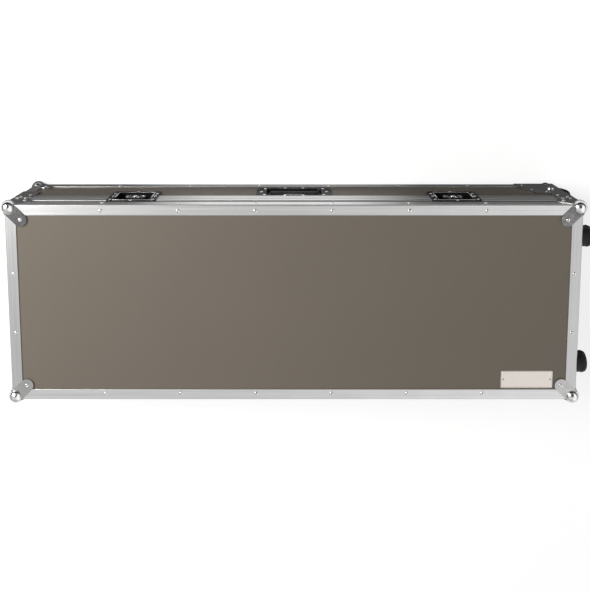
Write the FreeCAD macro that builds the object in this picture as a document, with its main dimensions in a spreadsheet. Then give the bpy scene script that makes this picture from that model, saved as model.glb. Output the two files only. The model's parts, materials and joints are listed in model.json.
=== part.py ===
"""Tour case for a pedalboard: a deep base and a shallow lid that lies on it, hinged along one long side.

The case lies on its back. X runs along its length, with the wheels at the -X end, the latches and the
carrying handle face -Y, the hinges are on +Y, and Z goes up. Lengths are in millimetres.
"""
import FreeCAD, Part
import os
import re
import Sketcher

V = FreeCAD.Vector
Turn = FreeCAD.Rotation

# Each size that can be set by itself, in millimetres, degrees or pieces
SIZES = {
    # the case over its aluminium edges
    "case_length": 1160, "case_width": 410, "case_height": 200, "lid_depth": 56,
    "panel_t": 9, "seal_gap": 0.3, "fit_gap": 0.3, "run_gap": 0.05, "overrun": 20,
    # angle extrusions along the outer edges and up the corners
    "angle_t": 2, "face_leg": 22, "side_leg": 26, "corner_leg": 22, "edge_bevel": 1.6,
    # tongue and groove extrusions along the parting line
    "base_rim_leg": 26, "lid_rim_leg": 17, "rim_inner_leg": 13, "rim_wall": 1.5, "rim_bevel": 1.4,
    "base_lip": 3, "lid_lip": 8, "tongue_t": 2.5, "tongue_h": 3, "groove_w": 6.5, "groove_h": 3.5,
    # ball corners: a ball and three straps that run along the diagonals of the faces
    "ball_r": 15, "ball_proud": 8.5, "strap_w": 27, "strap_reach": 31, "strap_t": 1.5,
    # right-angled plates beside the parting line
    "parting_reach": 36, "parting_t": 1.5, "parting_base_h": 62, "parting_lid_h": 26,
    # wheels in brackets at two corners of the base
    "wheel_share": 0.2923, "wheel_w": 25, "wheel_proud": 24, "wheel_side_gap": 2, "wheel_gap": 2.5,
    "tread_bevel": 4, "hub_r": 15, "hub_recess": 1.5, "axle_r": 5, "axle_head_r": 9, "axle_head_t": 2,
    "bracket_t": 2, "bracket_proud": 1, "bracket_length": 86, "bracket_floor_w": 60,
    "bracket_end_w": 48, "bracket_bevel_x": 30, "bracket_bevel_z": 52, "bracket_ball_r": 11,
    "bracket_ball_inset": 15, "bracket_ball_side": 4,
    # recessed handles
    "dish_length": 162, "dish_foot_gap": 9, "dish_head_gap": 0.7, "dish_t": 1.2, "dish_corner_r": 20,
    "pocket_length": 118, "pocket_height_share": 0.73, "pocket_depth": 24, "pocket_corner_r": 9,
    "pivot_up_share": 0.3, "pivot_arm_share": 0.5, "pivot_in": 10, "pin_r": 2.5, "pin_reach": 10, "arm_r": 6.5,
    "arm_t": 3, "arm_inset": 3.5, "bail_rod_r": 4, "grip_r": 10, "grip_rib_h": 1.1, "grip_ribs": 11,
    "rib_w": 4, "grip_bore_gap": 0.1,
    # recessed turn latches over the parting line
    "latch_spacing": 668, "latch_width": 102, "latch_base_h": 65, "latch_lid_h": 29,
    "latch_corner_r": 12, "latch_pocket_w": 74, "latch_pocket_h": 52, "catch_pocket_h": 17,
    "latch_depth": 14, "turn_drop": 29, "turn_r": 12, "turn_t": 3, "turn_in": 6, "wing_reach": 21,
    "wing_w": 15, "wing_t": 2.5, "wing_rise": 3, "spindle_r": 4, "hook_drop": 10, "hook_width": 30,
    "hook_t": 2, "hook_in": 7.5, "hook_reach": 7, "hook_pin_r": 1.5, "hook_barrel_r": 2.8,
    "lug_t": 4, "strike_w": 28, "strike_h": 3, "strike_rise": 1.5,
    # stop hinges
    "hinge_pitch": 400, "hinge_width": 64, "leaf_h": 24, "leaf_t": 2, "knuckle_r": 4, "hinge_pin_r": 2,
    # foam lining
    "floor_foam_t": 14, "side_foam_t": 12, "lid_foam_t": 14,
    # rubber feet on the end that the case stands on
    "foot_r": 22.5, "foot_tip_r": 19, "foot_taper": 7, "foot_inset": 71, "foot_drop": 27,
    "foot_well_r": 8, "foot_well_depth": 14, "screw_r": 2.5, "screw_head_r": 6, "screw_head_t": 3,
    # bare name plate
    "plate_length": 106, "plate_width": 36.5, "plate_t": 1, "plate_corner_r": 3, "plate_from_end": 102,
    "plate_from_side": 43, "plate_screw_inset": 5, "plate_screw_r": 2,
    # domed rivets
    "rivet_r": 4, "small_rivet_r": 3.2, "rivet_slope": 50, "rivet_pitch": 155, "rivet_from_edge": 13,
    "side_rivet_from_edge": 16, "end_rivet_pitch": 124,
}

doc = FreeCAD.newDocument("pedal_case")
sheet = doc.addObject("Spreadsheet::Sheet", "sizes")
for row, (name, amount) in enumerate(SIZES.items(), start=1):
    sheet.set(f"A{row}", name)
    sheet.set(f"B{row}", str(amount))
    sheet.setAlias(f"B{row}", name)
doc.recompute()
size_word = re.compile(r"\b(" + "|".join(sorted(SIZES, key=len, reverse=True)) + r")\b")

# Places that follow from the sizes
END = "(case_length / 2)"
SIDE = "(case_width / 2)"
PANEL_END = f"({END} - angle_t)"
PANEL_SIDE = f"({SIDE} - angle_t)"
INNER_END = f"({PANEL_END} - panel_t)"
INNER_SIDE = f"({PANEL_SIDE} - panel_t)"
FLOOR_TOP = "(angle_t + panel_t)"
LID_UNDER = "(case_height - angle_t - panel_t)"
PARTING = "(case_height - lid_depth)"
RIM_TOP = f"({PARTING} - seal_gap)"
MIDDLE = "(case_height / 2)"
DISH_LOW = "(side_leg + dish_foot_gap)"
DISH_HIGH = f"({RIM_TOP} - base_rim_leg - dish_head_gap)"
DISH_Z = f"(({DISH_LOW} + {DISH_HIGH}) / 2)"
POCKET_H = f"(({DISH_HIGH} - {DISH_LOW}) * pocket_height_share)"
WHEEL_R = f"({RIM_TOP} * wheel_share)"


def cell(text):
    """The same expression with each size read from the sheet."""
    return size_word.sub(r"sizes.\1", text)


def amount_of(text):
    """The present value of an expression."""
    return float(sheet.evalExpression(cell(text)))


def bind(thing, prop, text):
    thing.setExpression(prop, cell(text))


def minus(text):
    return f"-({text})"


def both(text):
    """The pair of ends of a span that is centred on zero."""
    return minus(text), text


def around(centre, half):
    """The pair of ends of a span that is centred on an expression."""
    return f"({centre}) - ({half})", f"({centre}) + ({half})"


def box(x, y, z):
    """A block between a low and a high end on each axis."""
    block = doc.addObject("Part::Box", "block")
    for prop, axis, (low, high) in (("Length", "x", x), ("Width", "y", y), ("Height", "z", z)):
        bind(block, prop, f"({high}) - ({low})")
        bind(block, f"Placement.Base.{axis}", low)
    return block


ALONG = {"x": Turn(V(0, 1, 0), 90), "y": Turn(V(1, 0, 0), -90), "z": Turn()}


def place(thing, axis, x, y, z):
    """Lay a round primitive along an axis, with its foot at the low end of its span."""
    thing.Placement = FreeCAD.Placement(V(), ALONG[axis])
    for name, where in (("x", x), ("y", y), ("z", z)):
        bind(thing, f"Placement.Base.{name}", where[0] if name == axis else where)


def rod(radius, x, y, z):
    """A round bar along the one axis whose place is a span."""
    spans = {"x": x, "y": y, "z": z}
    axis = next(name for name, where in spans.items() if isinstance(where, tuple))
    bar = doc.addObject("Part::Cylinder", "bar")
    bind(bar, "Radius", radius)
    bind(bar, "Height", f"({spans[axis][1]}) - ({spans[axis][0]})")
    place(bar, axis, x, y, z)
    return bar


def taper(radius, end_radius, x, y, z):
    """A cone frustum along the one axis whose place is a span, from its low to its high end."""
    spans = {"x": x, "y": y, "z": z}
    axis = next(name for name, where in spans.items() if isinstance(where, tuple))
    cone = doc.addObject("Part::Cone", "taper")
    bind(cone, "Radius1", radius)
    bind(cone, "Radius2", end_radius)
    bind(cone, "Height", f"({spans[axis][1]}) - ({spans[axis][0]})")
    place(cone, axis, x, y, z)
    return cone


def ball(radius, x, y, z):
    sphere = doc.addObject("Part::Sphere", "ball")
    bind(sphere, "Radius", radius)
    for name, where in (("x", x), ("y", y), ("z", z)):
        bind(sphere, f"Placement.Base.{name}", where)
    return sphere


FACING = {"+z": Turn(), "-z": Turn(V(1, 0, 0), 180), "+x": Turn(V(0, 1, 0), 90),
          "-x": Turn(V(0, 1, 0), -90), "+y": Turn(V(1, 0, 0), -90), "-y": Turn(V(1, 0, 0), 90)}


def dome(face, x, y, z, radius="rivet_r"):
    """A rivet's domed head that sits on a face at a point."""
    head = doc.addObject("Part::Sphere", "rivet")
    bind(head, "Radius", f"{radius} / cos(rivet_slope)")
    bind(head, "Angle1", "rivet_slope")
    head.Placement = FreeCAD.Placement(V(), FACING[face])
    sunk = f"{radius} * tan(rivet_slope)"
    sign = "-" if face[0] == "+" else "+"
    for name, where in (("x", x), ("y", y), ("z", z)):
        bind(head, f"Placement.Base.{name}", f"({where}) {sign} {sunk}" if name == face[1] else where)
    return head


def join(*things):
    fused = doc.addObject("Part::MultiFuse", "join")
    fused.Shapes = list(things)
    return fused


def cut(thing, *tools):
    result = doc.addObject("Part::Cut", "cut")
    result.Base = thing
    result.Tool = tools[0] if len(tools) == 1 else join(*tools)
    return result


def shared(one, other):
    result = doc.addObject("Part::Common", "shared")
    result.Base = one
    result.Tool = other
    return result


def mirror(thing, axis):
    """The thing on the other side of the case: across X, Y or the mid height."""
    image = doc.addObject("Part::Mirroring", "image")
    image.Source = thing
    image.Normal = {"x": V(1, 0, 0), "y": V(0, 1, 0), "z": V(0, 0, 1)}[axis]
    if axis == "z":
        bind(image, "Base.z", MIDDLE)
    return image


def rounded(axis, x, y, z, radius):
    """A block whose four edges along one axis are rounded."""
    spans = {"x": x, "y": y, "z": z}
    first, second = [name for name in "xyz" if name != axis]
    pieces = []
    for narrow in (first, second):
        part = dict(spans)
        low, high = part[narrow]
        part[narrow] = (f"({low}) + {radius}", f"({high}) - {radius}")
        pieces.append(box(**part))
    for end in (0, 1):
        for side in (0, 1):
            part = {axis: spans[axis]}
            for name, which in ((first, end), (second, side)):
                sign = "-" if which else "+"
                part[name] = f"({spans[name][which]}) {sign} {radius}"
            pieces.append(rod(radius, **part))
    return join(*pieces)


SKETCH_PLANES = {"x": "YZ_Plane", "y": "XZ_Plane", "z": "XY_Plane"}


def extrusion(axis, outline, length):
    """A closed outline of expression pairs, padded half its length to each side of its plane."""
    body = doc.addObject("PartDesign::Body", "extrusion")
    sketch = body.newObject("Sketcher::SketchObject", "outline")
    plane = next(item for item in body.Origin.OriginFeatures if item.Role == SKETCH_PLANES[axis])
    sketch.AttachmentSupport = [(plane, "")]
    sketch.MapMode = "FlatFace"
    corners = [V(amount_of(across), amount_of(up), 0) for across, up in outline]
    for start, end in zip(corners, corners[1:] + corners[:1]):
        sketch.addGeometry(Part.LineSegment(start, end))
    for index in range(len(corners)):
        sketch.addConstraint(Sketcher.Constraint("Coincident", index, 2, (index + 1) % len(corners), 1))
    for index, pair in enumerate(outline):
        for kind, text in zip(("DistanceX", "DistanceY"), pair):
            rule = Sketcher.Constraint(kind, -1, 1, index, 1, amount_of(text))
            number = sketch.addConstraint(rule)
            bind(sketch, f"Constraints[{number}]", text)
    pad = body.newObject("PartDesign::Pad", "pad")
    pad.Profile = sketch
    pad.SideType = "Symmetric"
    bind(pad, "Length", length)
    return body


# Where rivets sit, as shares of their plate's length, or of its length and height
LATCH_RIVET_SHARES = (0.25, 0.6)
PARTING_RIVET_SHARES = (0.3, 0.72)
BRACKET_RIVET_SHARES = ((0.83, 0.15), (0.73, 0.66), (0.45, 0.9))

nodes = []
X_SHIFT = "(wheel_proud - ball_proud) / 2"


def node(label, *solids, turn=None, shift=X_SHIFT):
    """A named sub-part of one or more separate solids, set down on the balls of the base."""
    group = doc.addObject("Part::Compound", label)
    group.Label = label
    group.Links = list(solids)
    if turn:
        group.Placement = FreeCAD.Placement(V(), turn)
    bind(group, "Placement.Base.x", shift)
    bind(group, "Placement.Base.z", "ball_proud")
    nodes.append(group)
    return group


def edge_outline(reach):
    """An angle extrusion over a bottom edge whose outer corner is at minus reach."""
    outer = minus(reach)
    return [(outer, "edge_bevel"), (f"{outer} + edge_bevel", "0"), (f"{outer} + face_leg", "0"),
            (f"{outer} + face_leg", "angle_t"), (f"{outer} + angle_t", "angle_t"),
            (f"{outer} + angle_t", "side_leg"), (outer, "side_leg")]


def base_rim_outline(reach):
    """A channel over the top of a base wall, with a tongue along it."""
    outer, flange = minus(reach), f"{minus(reach)} + angle_t"
    inner = f"{flange} + panel_t + rim_wall"
    tongue = f"{flange} + panel_t / 2"
    tongue_low, tongue_high = around(tongue, "tongue_t / 2")
    return [(outer, f"{RIM_TOP} - base_rim_leg"), (outer, f"{RIM_TOP} - rim_bevel"),
            (f"{outer} + rim_bevel", RIM_TOP), (tongue_low, RIM_TOP),
            (tongue_low, f"{RIM_TOP} + tongue_h"), (tongue_high, f"{RIM_TOP} + tongue_h"),
            (tongue_high, RIM_TOP), (inner, RIM_TOP), (inner, f"{RIM_TOP} - rim_inner_leg"),
            (f"{inner} - rim_wall", f"{RIM_TOP} - rim_inner_leg"),
            (f"{inner} - rim_wall", f"{RIM_TOP} - base_lip"), (flange, f"{RIM_TOP} - base_lip"),
            (flange, f"{RIM_TOP} - base_rim_leg")]


def lid_rim_outline(reach):
    """A channel under a lid wall, with a groove that clears the tongue."""
    outer, flange = minus(reach), f"{minus(reach)} + angle_t"
    inner = f"{flange} + panel_t + rim_wall"
    groove_low, groove_high = around(f"{flange} + panel_t / 2", "groove_w / 2")
    return [(outer, f"{PARTING} + lid_rim_leg"), (outer, f"{PARTING} + rim_bevel"),
            (f"{outer} + rim_bevel", PARTING), (groove_low, PARTING),
            (groove_low, f"{PARTING} + groove_h"), (groove_high, f"{PARTING} + groove_h"),
            (groove_high, PARTING), (inner, PARTING), (inner, f"{PARTING} + rim_inner_leg"),
            (f"{inner} - rim_wall", f"{PARTING} + rim_inner_leg"),
            (f"{inner} - rim_wall", f"{PARTING} + lid_lip"), (flange, f"{PARTING} + lid_lip"),
            (flange, f"{PARTING} + lid_rim_leg")]


# Wheel wells: the corners that the brackets take out of the base
WHEEL_X = f"(-{END} + {WHEEL_R} - wheel_proud)"
WHEEL_Z = f"(bracket_t + wheel_gap + {WHEEL_R})"
WHEEL_OUT = f"({PANEL_SIDE} - wheel_side_gap)"
WELL_END = f"({WHEEL_X} + {WHEEL_R} + wheel_gap + bracket_t)"
WELL_IN = f"({WHEEL_OUT} - wheel_w - wheel_side_gap - bracket_t)"
WELL_TOP = f"({WHEEL_Z} + {WHEEL_R} + wheel_gap + bracket_t)"
BRACKET_END = f"(-{END} + bracket_length)"

# Latch and handle places
LATCH_X = "(latch_spacing / 2)"
LATCH_FLOOR = f"(-{PANEL_SIDE} + latch_depth)"
LATCH_HALF = "(latch_pocket_w / 2 + dish_t)"
LATCH_LOW = f"({PARTING} - latch_pocket_h - dish_t)"
HANDLE_FLOOR = f"(-{PANEL_SIDE} + pocket_depth)"
HANDLE_HALF = "(pocket_length / 2 + dish_t)"


def well_space(grow="0"):
    """The room that one wheel bracket takes inside the walls, on the latch side."""
    return box((f"-{END} - overrun", f"{WELL_END} + {grow}"),
               (f"-{SIDE} - overrun", f"-{WELL_IN} + {grow}"), ("-overrun", f"{WELL_TOP} + {grow}"))


def bracket_zone():
    """The corner block on the latch side where the bracket's plates take the place of the edges."""
    return box((f"-{END} - overrun", BRACKET_END), (f"-{SIDE} - overrun", f"-{SIDE} + bracket_floor_w"),
               ("-overrun", WELL_TOP))


def latch_space(side):
    """The room that a latch takes in the walls and rims; side is the sign of its place along X."""
    return box(around(f"{side}{LATCH_X}", LATCH_HALF),
               (f"-{SIDE} - overrun", f"{LATCH_FLOOR} + dish_t"),
               (LATCH_LOW, f"{PARTING} + catch_pocket_h + dish_t"))


def handle_space():
    """The room that the pocket of a handle takes in a wall, as it lies on the latch side."""
    return box(both(HANDLE_HALF), (f"-{SIDE} - overrun", f"{HANDLE_FLOOR} + dish_t"),
               around(DISH_Z, f"{POCKET_H} / 2 + dish_t"))


def at_handle_end(thing):
    """A thing made for the latch side, carried round to the +X end."""
    group = doc.addObject("Part::Compound", "turned")
    group.Links = [thing]
    group.Placement = FreeCAD.Placement(V(), Turn(V(0, 0, 1), 90))
    bind(group, "Placement.Base.x", f"{END} - {SIDE}")
    return group


wells = well_space()
wells_across = mirror(wells, "y")
zones = bracket_zone()
zones_across = mirror(zones, "y")
latch_rooms = [latch_space("-"), latch_space("+")]
end_handle_room = at_handle_end(handle_space())


def base_panels(base_rim):
    """The floor and the four walls; the end walls are notched for the long rims.

    The wall that carries a handle and the latches is notched from its top edge for all three, and a
    block behind the handle's flange closes the notch above its pocket.
    """
    rims_along = (base_rim, mirror(base_rim, "y"))
    floor = box(both(PANEL_END), both(PANEL_SIDE), ("angle_t", FLOOR_TOP))
    node("floor_panel", cut(floor, wells, wells_across))
    wall_z = (FLOOR_TOP, f"{RIM_TOP} - base_lip")
    latch_wall = box(both(PANEL_END), (minus(PANEL_SIDE), minus(INNER_SIDE)), wall_z)
    pocket_low, pocket_high = around(DISH_Z, f"{POCKET_H} / 2 + dish_t")
    notch = box(both(HANDLE_HALF), (f"-{SIDE} - overrun", "0"), (pocket_low, RIM_TOP))
    block = box(both(HANDLE_HALF), (minus(PANEL_SIDE), minus(INNER_SIDE)), (pocket_high, wall_z[1]))
    node("base_latch_side_panel", cut(latch_wall, wells, notch, *latch_rooms), block)
    hinge_wall = box(both(PANEL_END), (INNER_SIDE, PANEL_SIDE), wall_z)
    node("base_hinge_side_panel", cut(hinge_wall, wells_across))
    handle_end = box((INNER_END, PANEL_END), both(INNER_SIDE), wall_z)
    node("base_handle_end_panel", cut(handle_end, end_handle_room, *rims_along))
    wheel_end = box((minus(PANEL_END), minus(INNER_END)), both(INNER_SIDE), wall_z)
    node("base_wheel_end_panel", cut(wheel_end, wells, wells_across, *rims_along))


def lid_panels(lid_rim):
    """The lid's top and its four walls; the end walls are notched for the long rims."""
    rims_along = (lid_rim, mirror(lid_rim, "y"))
    top_z = (LID_UNDER, f"{LID_UNDER} + panel_t")
    node("lid_panel", box(both(PANEL_END), both(PANEL_SIDE), top_z))
    wall_z = (f"{PARTING} + lid_lip", LID_UNDER)
    latch_wall = box(both(PANEL_END), (minus(PANEL_SIDE), minus(INNER_SIDE)), wall_z)
    node("lid_latch_side_wall", cut(latch_wall, *latch_rooms))
    node("lid_hinge_side_wall", mirror(latch_wall, "y"))
    end_wall = cut(box((INNER_END, PANEL_END), both(INNER_SIDE), wall_z), *rims_along)
    node("lid_end_walls", end_wall, mirror(end_wall, "x"))


def edges():
    """Angle extrusions: the long ones run through, and the others stop against them."""
    long_edge = extrusion("x", edge_outline(SIDE), "case_length")
    long_across = mirror(long_edge, "y")
    end_edge = extrusion("y", edge_outline(END), f"2 * {PANEL_SIDE}")
    wheel_end_edge = cut(end_edge, long_edge, long_across)
    handle_end_edge = mirror(wheel_end_edge, "x")
    node("base_long_edges", cut(long_edge, zones), cut(long_across, zones_across))
    node("base_end_edges", cut(wheel_end_edge, zones, zones_across), handle_end_edge)
    node("lid_long_edges", mirror(long_edge, "z"), mirror(long_across, "z"))
    node("lid_end_edges", mirror(wheel_end_edge, "z"), mirror(handle_end_edge, "z"))

    corner = [(minus(END), minus(SIDE)), (f"-{END} + corner_leg", minus(SIDE)),
              (f"-{END} + corner_leg", minus(PANEL_SIDE)), (minus(PANEL_END), minus(PANEL_SIDE)),
              (minus(PANEL_END), f"-{SIDE} + corner_leg"), (minus(END), f"-{SIDE} + corner_leg")]
    upright = extrusion("z", corner, f"2 * ({RIM_TOP} - base_rim_leg)")
    everywhere = (both(f"{END} + overrun"), both(f"{SIDE} + overrun"))
    plain = cut(upright, box(*everywhere, ("-case_height", "side_leg")))
    by_wheel = cut(upright, box(*everywhere, ("-case_height", WELL_TOP)))
    node("base_corner_angles", by_wheel, mirror(by_wheel, "y"), mirror(plain, "x"),
         mirror(mirror(plain, "x"), "y"))
    return long_edge, wheel_end_edge, plain


def rims():
    base_long = extrusion("x", base_rim_outline(SIDE), "case_length")
    base_across = mirror(base_long, "y")
    base_end = extrusion("y", base_rim_outline(END), f"2 * ({INNER_SIDE} - rim_wall)")
    latch_rim = cut(base_long, *latch_rooms)
    node("base_rim_latch_side", latch_rim)
    node("base_rim_hinge_side", base_across)
    node("base_end_rims", base_end, mirror(base_end, "x"))
    lid_long = extrusion("x", lid_rim_outline(SIDE), "case_length")
    lid_across = mirror(lid_long, "y")
    lid_end = extrusion("y", lid_rim_outline(END), f"2 * ({INNER_SIDE} - rim_wall)")
    lid_latch_rim = cut(lid_long, *latch_rooms)
    node("lid_rim_latch_side", lid_latch_rim)
    node("lid_rim_hinge_side", lid_across)
    node("lid_end_rims", lid_end, mirror(lid_end, "x"))
    return (base_long, base_end, lid_long, lid_end), (latch_rim, lid_latch_rim)


def corner_straps():
    """The three rounded straps of a ball corner at the origin, with the case on the plus side."""
    through = ("-strap_t", "angle_t")
    tip = rod("strap_w / 2", "strap_reach", "strap_reach", through)
    bar = doc.addObject("Part::Box", "strap_bar")
    bind(bar, "Length", "strap_reach * sqrt(2)")
    bind(bar, "Width", "strap_w")
    bind(bar, "Height", "strap_t + angle_t")
    bar.Placement = FreeCAD.Placement(V(), Turn(V(0, 0, 1), 45))
    for name, where in (("x", "strap_w / sqrt(8)"), ("y", "-strap_w / sqrt(8)"), ("z", "-strap_t")):
        bind(bar, f"Placement.Base.{name}", where)
    under = join(tip, bar)
    straps = [under]
    for degrees in (120, 240):
        turned = doc.addObject("Part::Compound", "strap")
        turned.Links = [under]
        turned.Placement = FreeCAD.Placement(V(), Turn(V(1, 1, 1), degrees))
        straps.append(turned)
    return straps


def ball_corners(long_edge, end_edge, upright, lid_long, lid_end):
    """The corner at -X, -Y, bottom, made once and mirrored to the rest."""
    inset = "ball_r - ball_proud"
    knob = ball("ball_r", f"-{END} + {inset}", f"-{SIDE} + {inset}", inset)
    case = box((minus(PANEL_END), END), (minus(PANEL_SIDE), SIDE), ("angle_t", "case_height"))
    straps = doc.addObject("Part::Compound", "straps")
    straps.Links = [shared(join(*corner_straps()), box(*[("-strap_t", MIDDLE)] * 3))]
    bind(straps, "Placement.Base.x", minus(END))
    bind(straps, "Placement.Base.y", minus(SIDE))
    corner = cut(join(knob, straps), case, long_edge, end_edge, upright)
    handle_end = mirror(corner, "x")
    node("base_ball_corners", handle_end, mirror(handle_end, "y"))
    top = cut(mirror(corner, "z"), lid_long, lid_end)
    top_handle_end = mirror(top, "x")
    node("lid_ball_corners", top, mirror(top, "y"), top_handle_end, mirror(top_handle_end, "y"))
    return top


def parting_corners(base_long, base_end, lid_long, lid_end, upright, long_edge, end_edge, top_corner):
    """Right-angled plates that wrap the corners below and above the parting line."""
    def wrap(low, high, *carriers):
        outside = box((f"-{END} - parting_t", f"-{END} + parting_reach"),
                      (f"-{SIDE} - parting_t", f"-{SIDE} + parting_reach"), (low, high))
        case = box((minus(PANEL_END), END), (minus(PANEL_SIDE), SIDE), ("0", "case_height"))
        return cut(outside, case, *carriers)

    base_top = f"{RIM_TOP} - rim_bevel"
    by_wheel = wrap(WELL_TOP, base_top, base_long, base_end, upright)
    plain = mirror(wrap(f"{RIM_TOP} - parting_base_h", base_top, base_long, base_end, upright), "x")
    node("base_parting_corners", by_wheel, mirror(by_wheel, "y"), plain, mirror(plain, "y"))
    groove = box(both(END), around(f"-{PANEL_SIDE} + panel_t / 2", "groove_w / 2"),
                 (PARTING, f"{PARTING} + groove_h"))
    above = wrap(f"{PARTING} + rim_bevel", f"{PARTING} + parting_lid_h", lid_long, lid_end,
                 mirror(long_edge, "z"), mirror(end_edge, "z"), top_corner, groove)
    far = mirror(above, "x")
    node("lid_parting_corners", above, mirror(above, "y"), far, mirror(far, "y"))


def wheels():
    """Steel corner brackets with a wheel each, made on the latch side and mirrored."""
    outside = f"-{SIDE} - bracket_proud"
    under = "-bracket_proud"
    front = f"-{END} - bracket_proud"
    well = box((front, WELL_END), (outside, minus(WELL_IN)), (under, WELL_TOP))
    side_plate = box((front, BRACKET_END), (outside, minus(PANEL_SIDE)), (under, WELL_TOP))
    bevel_high, bevel_low = f"{WELL_TOP} + overrun", f"{WELL_TOP} - bracket_bevel_z"
    bevel_near, bevel_far = f"{BRACKET_END} - bracket_bevel_x", f"{BRACKET_END} + overrun"
    bevel = extrusion("y", [(bevel_near, bevel_high), (bevel_near, WELL_TOP), (BRACKET_END, bevel_low),
                            (bevel_far, bevel_low), (bevel_far, bevel_high)], "2 * case_width")
    floor_plate = box((front, BRACKET_END), (outside, f"-{SIDE} + bracket_floor_w"), (under, "angle_t"))
    end_plate = box((front, minus(PANEL_END)), (outside, f"-{SIDE} + bracket_end_w"), (under, WELL_TOP))
    knob = ball("bracket_ball_r", f"-{END} + bracket_ball_inset",
                f"-{SIDE} - bracket_ball_side + bracket_ball_r", "bracket_ball_r - ball_proud")
    hollow = box((f"-{END} - overrun", f"{WELL_END} - bracket_t"),
                 (minus(PANEL_SIDE), f"-{WELL_IN} - bracket_t"), ("bracket_t", f"{WELL_TOP} - bracket_t"))
    through = (f"-{SIDE} - overrun", f"-{WELL_IN} + overrun")
    axle_hole = rod("axle_r + run_gap", WHEEL_X, through, WHEEL_Z)
    inner = box((f"-{END} + bracket_t", "0"), (f"-{PANEL_SIDE}", "0"), ("angle_t", MIDDLE))
    plates = join(well, cut(side_plate, bevel), floor_plate, end_plate, cut(knob, inner))
    bracket = cut(plates, hollow, axle_hole)
    node("wheel_bracket_latch_side", bracket)
    node("wheel_bracket_hinge_side", mirror(bracket, "y"))
    shank = rod("axle_r", WHEEL_X, (outside, minus(WELL_IN)), WHEEL_Z)
    head = rod("axle_head_r", WHEEL_X, (f"{outside} - axle_head_t", outside), WHEEL_Z)
    axle = join(shank, head)
    node("wheel_axles", axle, mirror(axle, "y"))
    low, high = minus(WHEEL_OUT), f"-{WHEEL_OUT} + wheel_w"
    shoulder_r = f"{WHEEL_R} - tread_bevel"
    near, far = f"{low} + tread_bevel", f"{high} - tread_bevel"
    tread = rod(WHEEL_R, WHEEL_X, (near, far), WHEEL_Z)
    shoulders = [taper(shoulder_r, WHEEL_R, WHEEL_X, (low, near), WHEEL_Z),
                 taper(WHEEL_R, shoulder_r, WHEEL_X, (far, high), WHEEL_Z)]
    bore = rod("axle_r + run_gap", WHEEL_X, through, WHEEL_Z)
    recesses = []
    for span in ((low, f"{low} + hub_recess"), (f"{high} - hub_recess", high)):
        face = rod(f"{WHEEL_R} - 2 * tread_bevel", WHEEL_X, span, WHEEL_Z)
        recesses.append(cut(face, rod("hub_r", WHEEL_X, span, WHEEL_Z)))
    wheel = cut(join(tread, *shoulders), bore, *recesses)
    node("wheel_latch_side", wheel)
    node("wheel_hinge_side", mirror(wheel, "y"))


def handle_solids():
    """A recessed handle on the latch side: dish, bail, grip, the two pivot pins and the rivets."""
    face = minus(PANEL_SIDE)
    flange_r, shell_r = "dish_corner_r", "(pocket_corner_r + dish_t)"
    flange = rounded("y", both("dish_length / 2"), (f"{face} - dish_t", face), (DISH_LOW, DISH_HIGH), flange_r)
    shell = rounded("y", both(HANDLE_HALF), (face, f"{HANDLE_FLOOR} + dish_t"),
                    around(DISH_Z, f"{POCKET_H} / 2 + dish_t"), shell_r)
    pocket = rounded("y", both("pocket_length / 2"), (f"{face} - overrun", HANDLE_FLOOR),
                     around(DISH_Z, f"{POCKET_H} / 2"), "pocket_corner_r")
    dish = cut(join(flange, shell), pocket)
    pivot_y, pivot_z = f"{face} + pivot_in", f"({DISH_Z} + {POCKET_H} * pivot_up_share)"
    grip_z = f"({pivot_z} - {POCKET_H} * pivot_arm_share)"
    wall = "pocket_length / 2"
    pin = rod("pin_r", (f"{wall} - pin_reach", wall), pivot_y, pivot_z)
    arm_span = (f"{wall} - arm_inset - arm_t", f"{wall} - arm_inset")
    arm = join(rod("arm_r", arm_span, pivot_y, pivot_z), rod("arm_r", arm_span, pivot_y, grip_z),
               box(arm_span, around(pivot_y, "arm_r"), (grip_z, pivot_z)))
    core = rod("bail_rod_r", both(arm_span[0]), pivot_y, grip_z)
    hole = rod("pin_r + run_gap", both("pocket_length"), pivot_y, pivot_z)
    bail = cut(join(arm, mirror(arm, "x"), core), hole)
    grip_half = f"({arm_span[0]} - fit_gap)"
    ribs = [rod("grip_r - grip_rib_h", both(grip_half), pivot_y, grip_z)]
    for index in range(SIZES["grip_ribs"]):
        middle = f"{grip_half} * (2 * {index} + 1 - grip_ribs) / grip_ribs"
        ribs.append(rod("grip_r", around(middle, "rib_w / 2"), pivot_y, grip_z))
    bore = rod("bail_rod_r + grip_bore_gap", both("pocket_length"), pivot_y, grip_z)
    grip = cut(join(*ribs), bore)
    flange_face = f"{face} - dish_t"
    high_z = f"({DISH_HIGH} - {DISH_LOW} + {POCKET_H}) / 4"
    rivets = []
    for side in ("-", "+"):
        spots = [(f"{side}(dish_length / 2 + pocket_length / 2) / 2", DISH_Z)]
        for up in ("-", "+"):
            spots.append((f"{side}(pocket_length / 2 + rivet_r)", f"{DISH_Z} {up} {POCKET_H} / 2"))
            spots.append((f"{side}pocket_length / 6", f"{DISH_Z} {up} {high_z}"))
        rivets += [dome("-y", x, flange_face, z, "small_rivet_r") for x, z in spots]
    return dish, bail, grip, [pin, mirror(pin, "x")], rivets


def handles():
    dish, bail, grip, pins, rivets = handle_solids()
    turn = Turn(V(0, 0, 1), 90)
    to_end = f"{X_SHIFT} + {END} - {SIDE}"
    for name, solid in (("dish", dish), ("bail", bail), ("grip", grip)):
        node(f"side_handle_{name}", solid)
        node(f"end_handle_{name}", solid, turn=turn, shift=to_end)
    node("handle_pins", *pins, *[at_handle_end(pin) for pin in pins])
    return rivets + [at_handle_end(rivet) for rivet in rivets]


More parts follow.
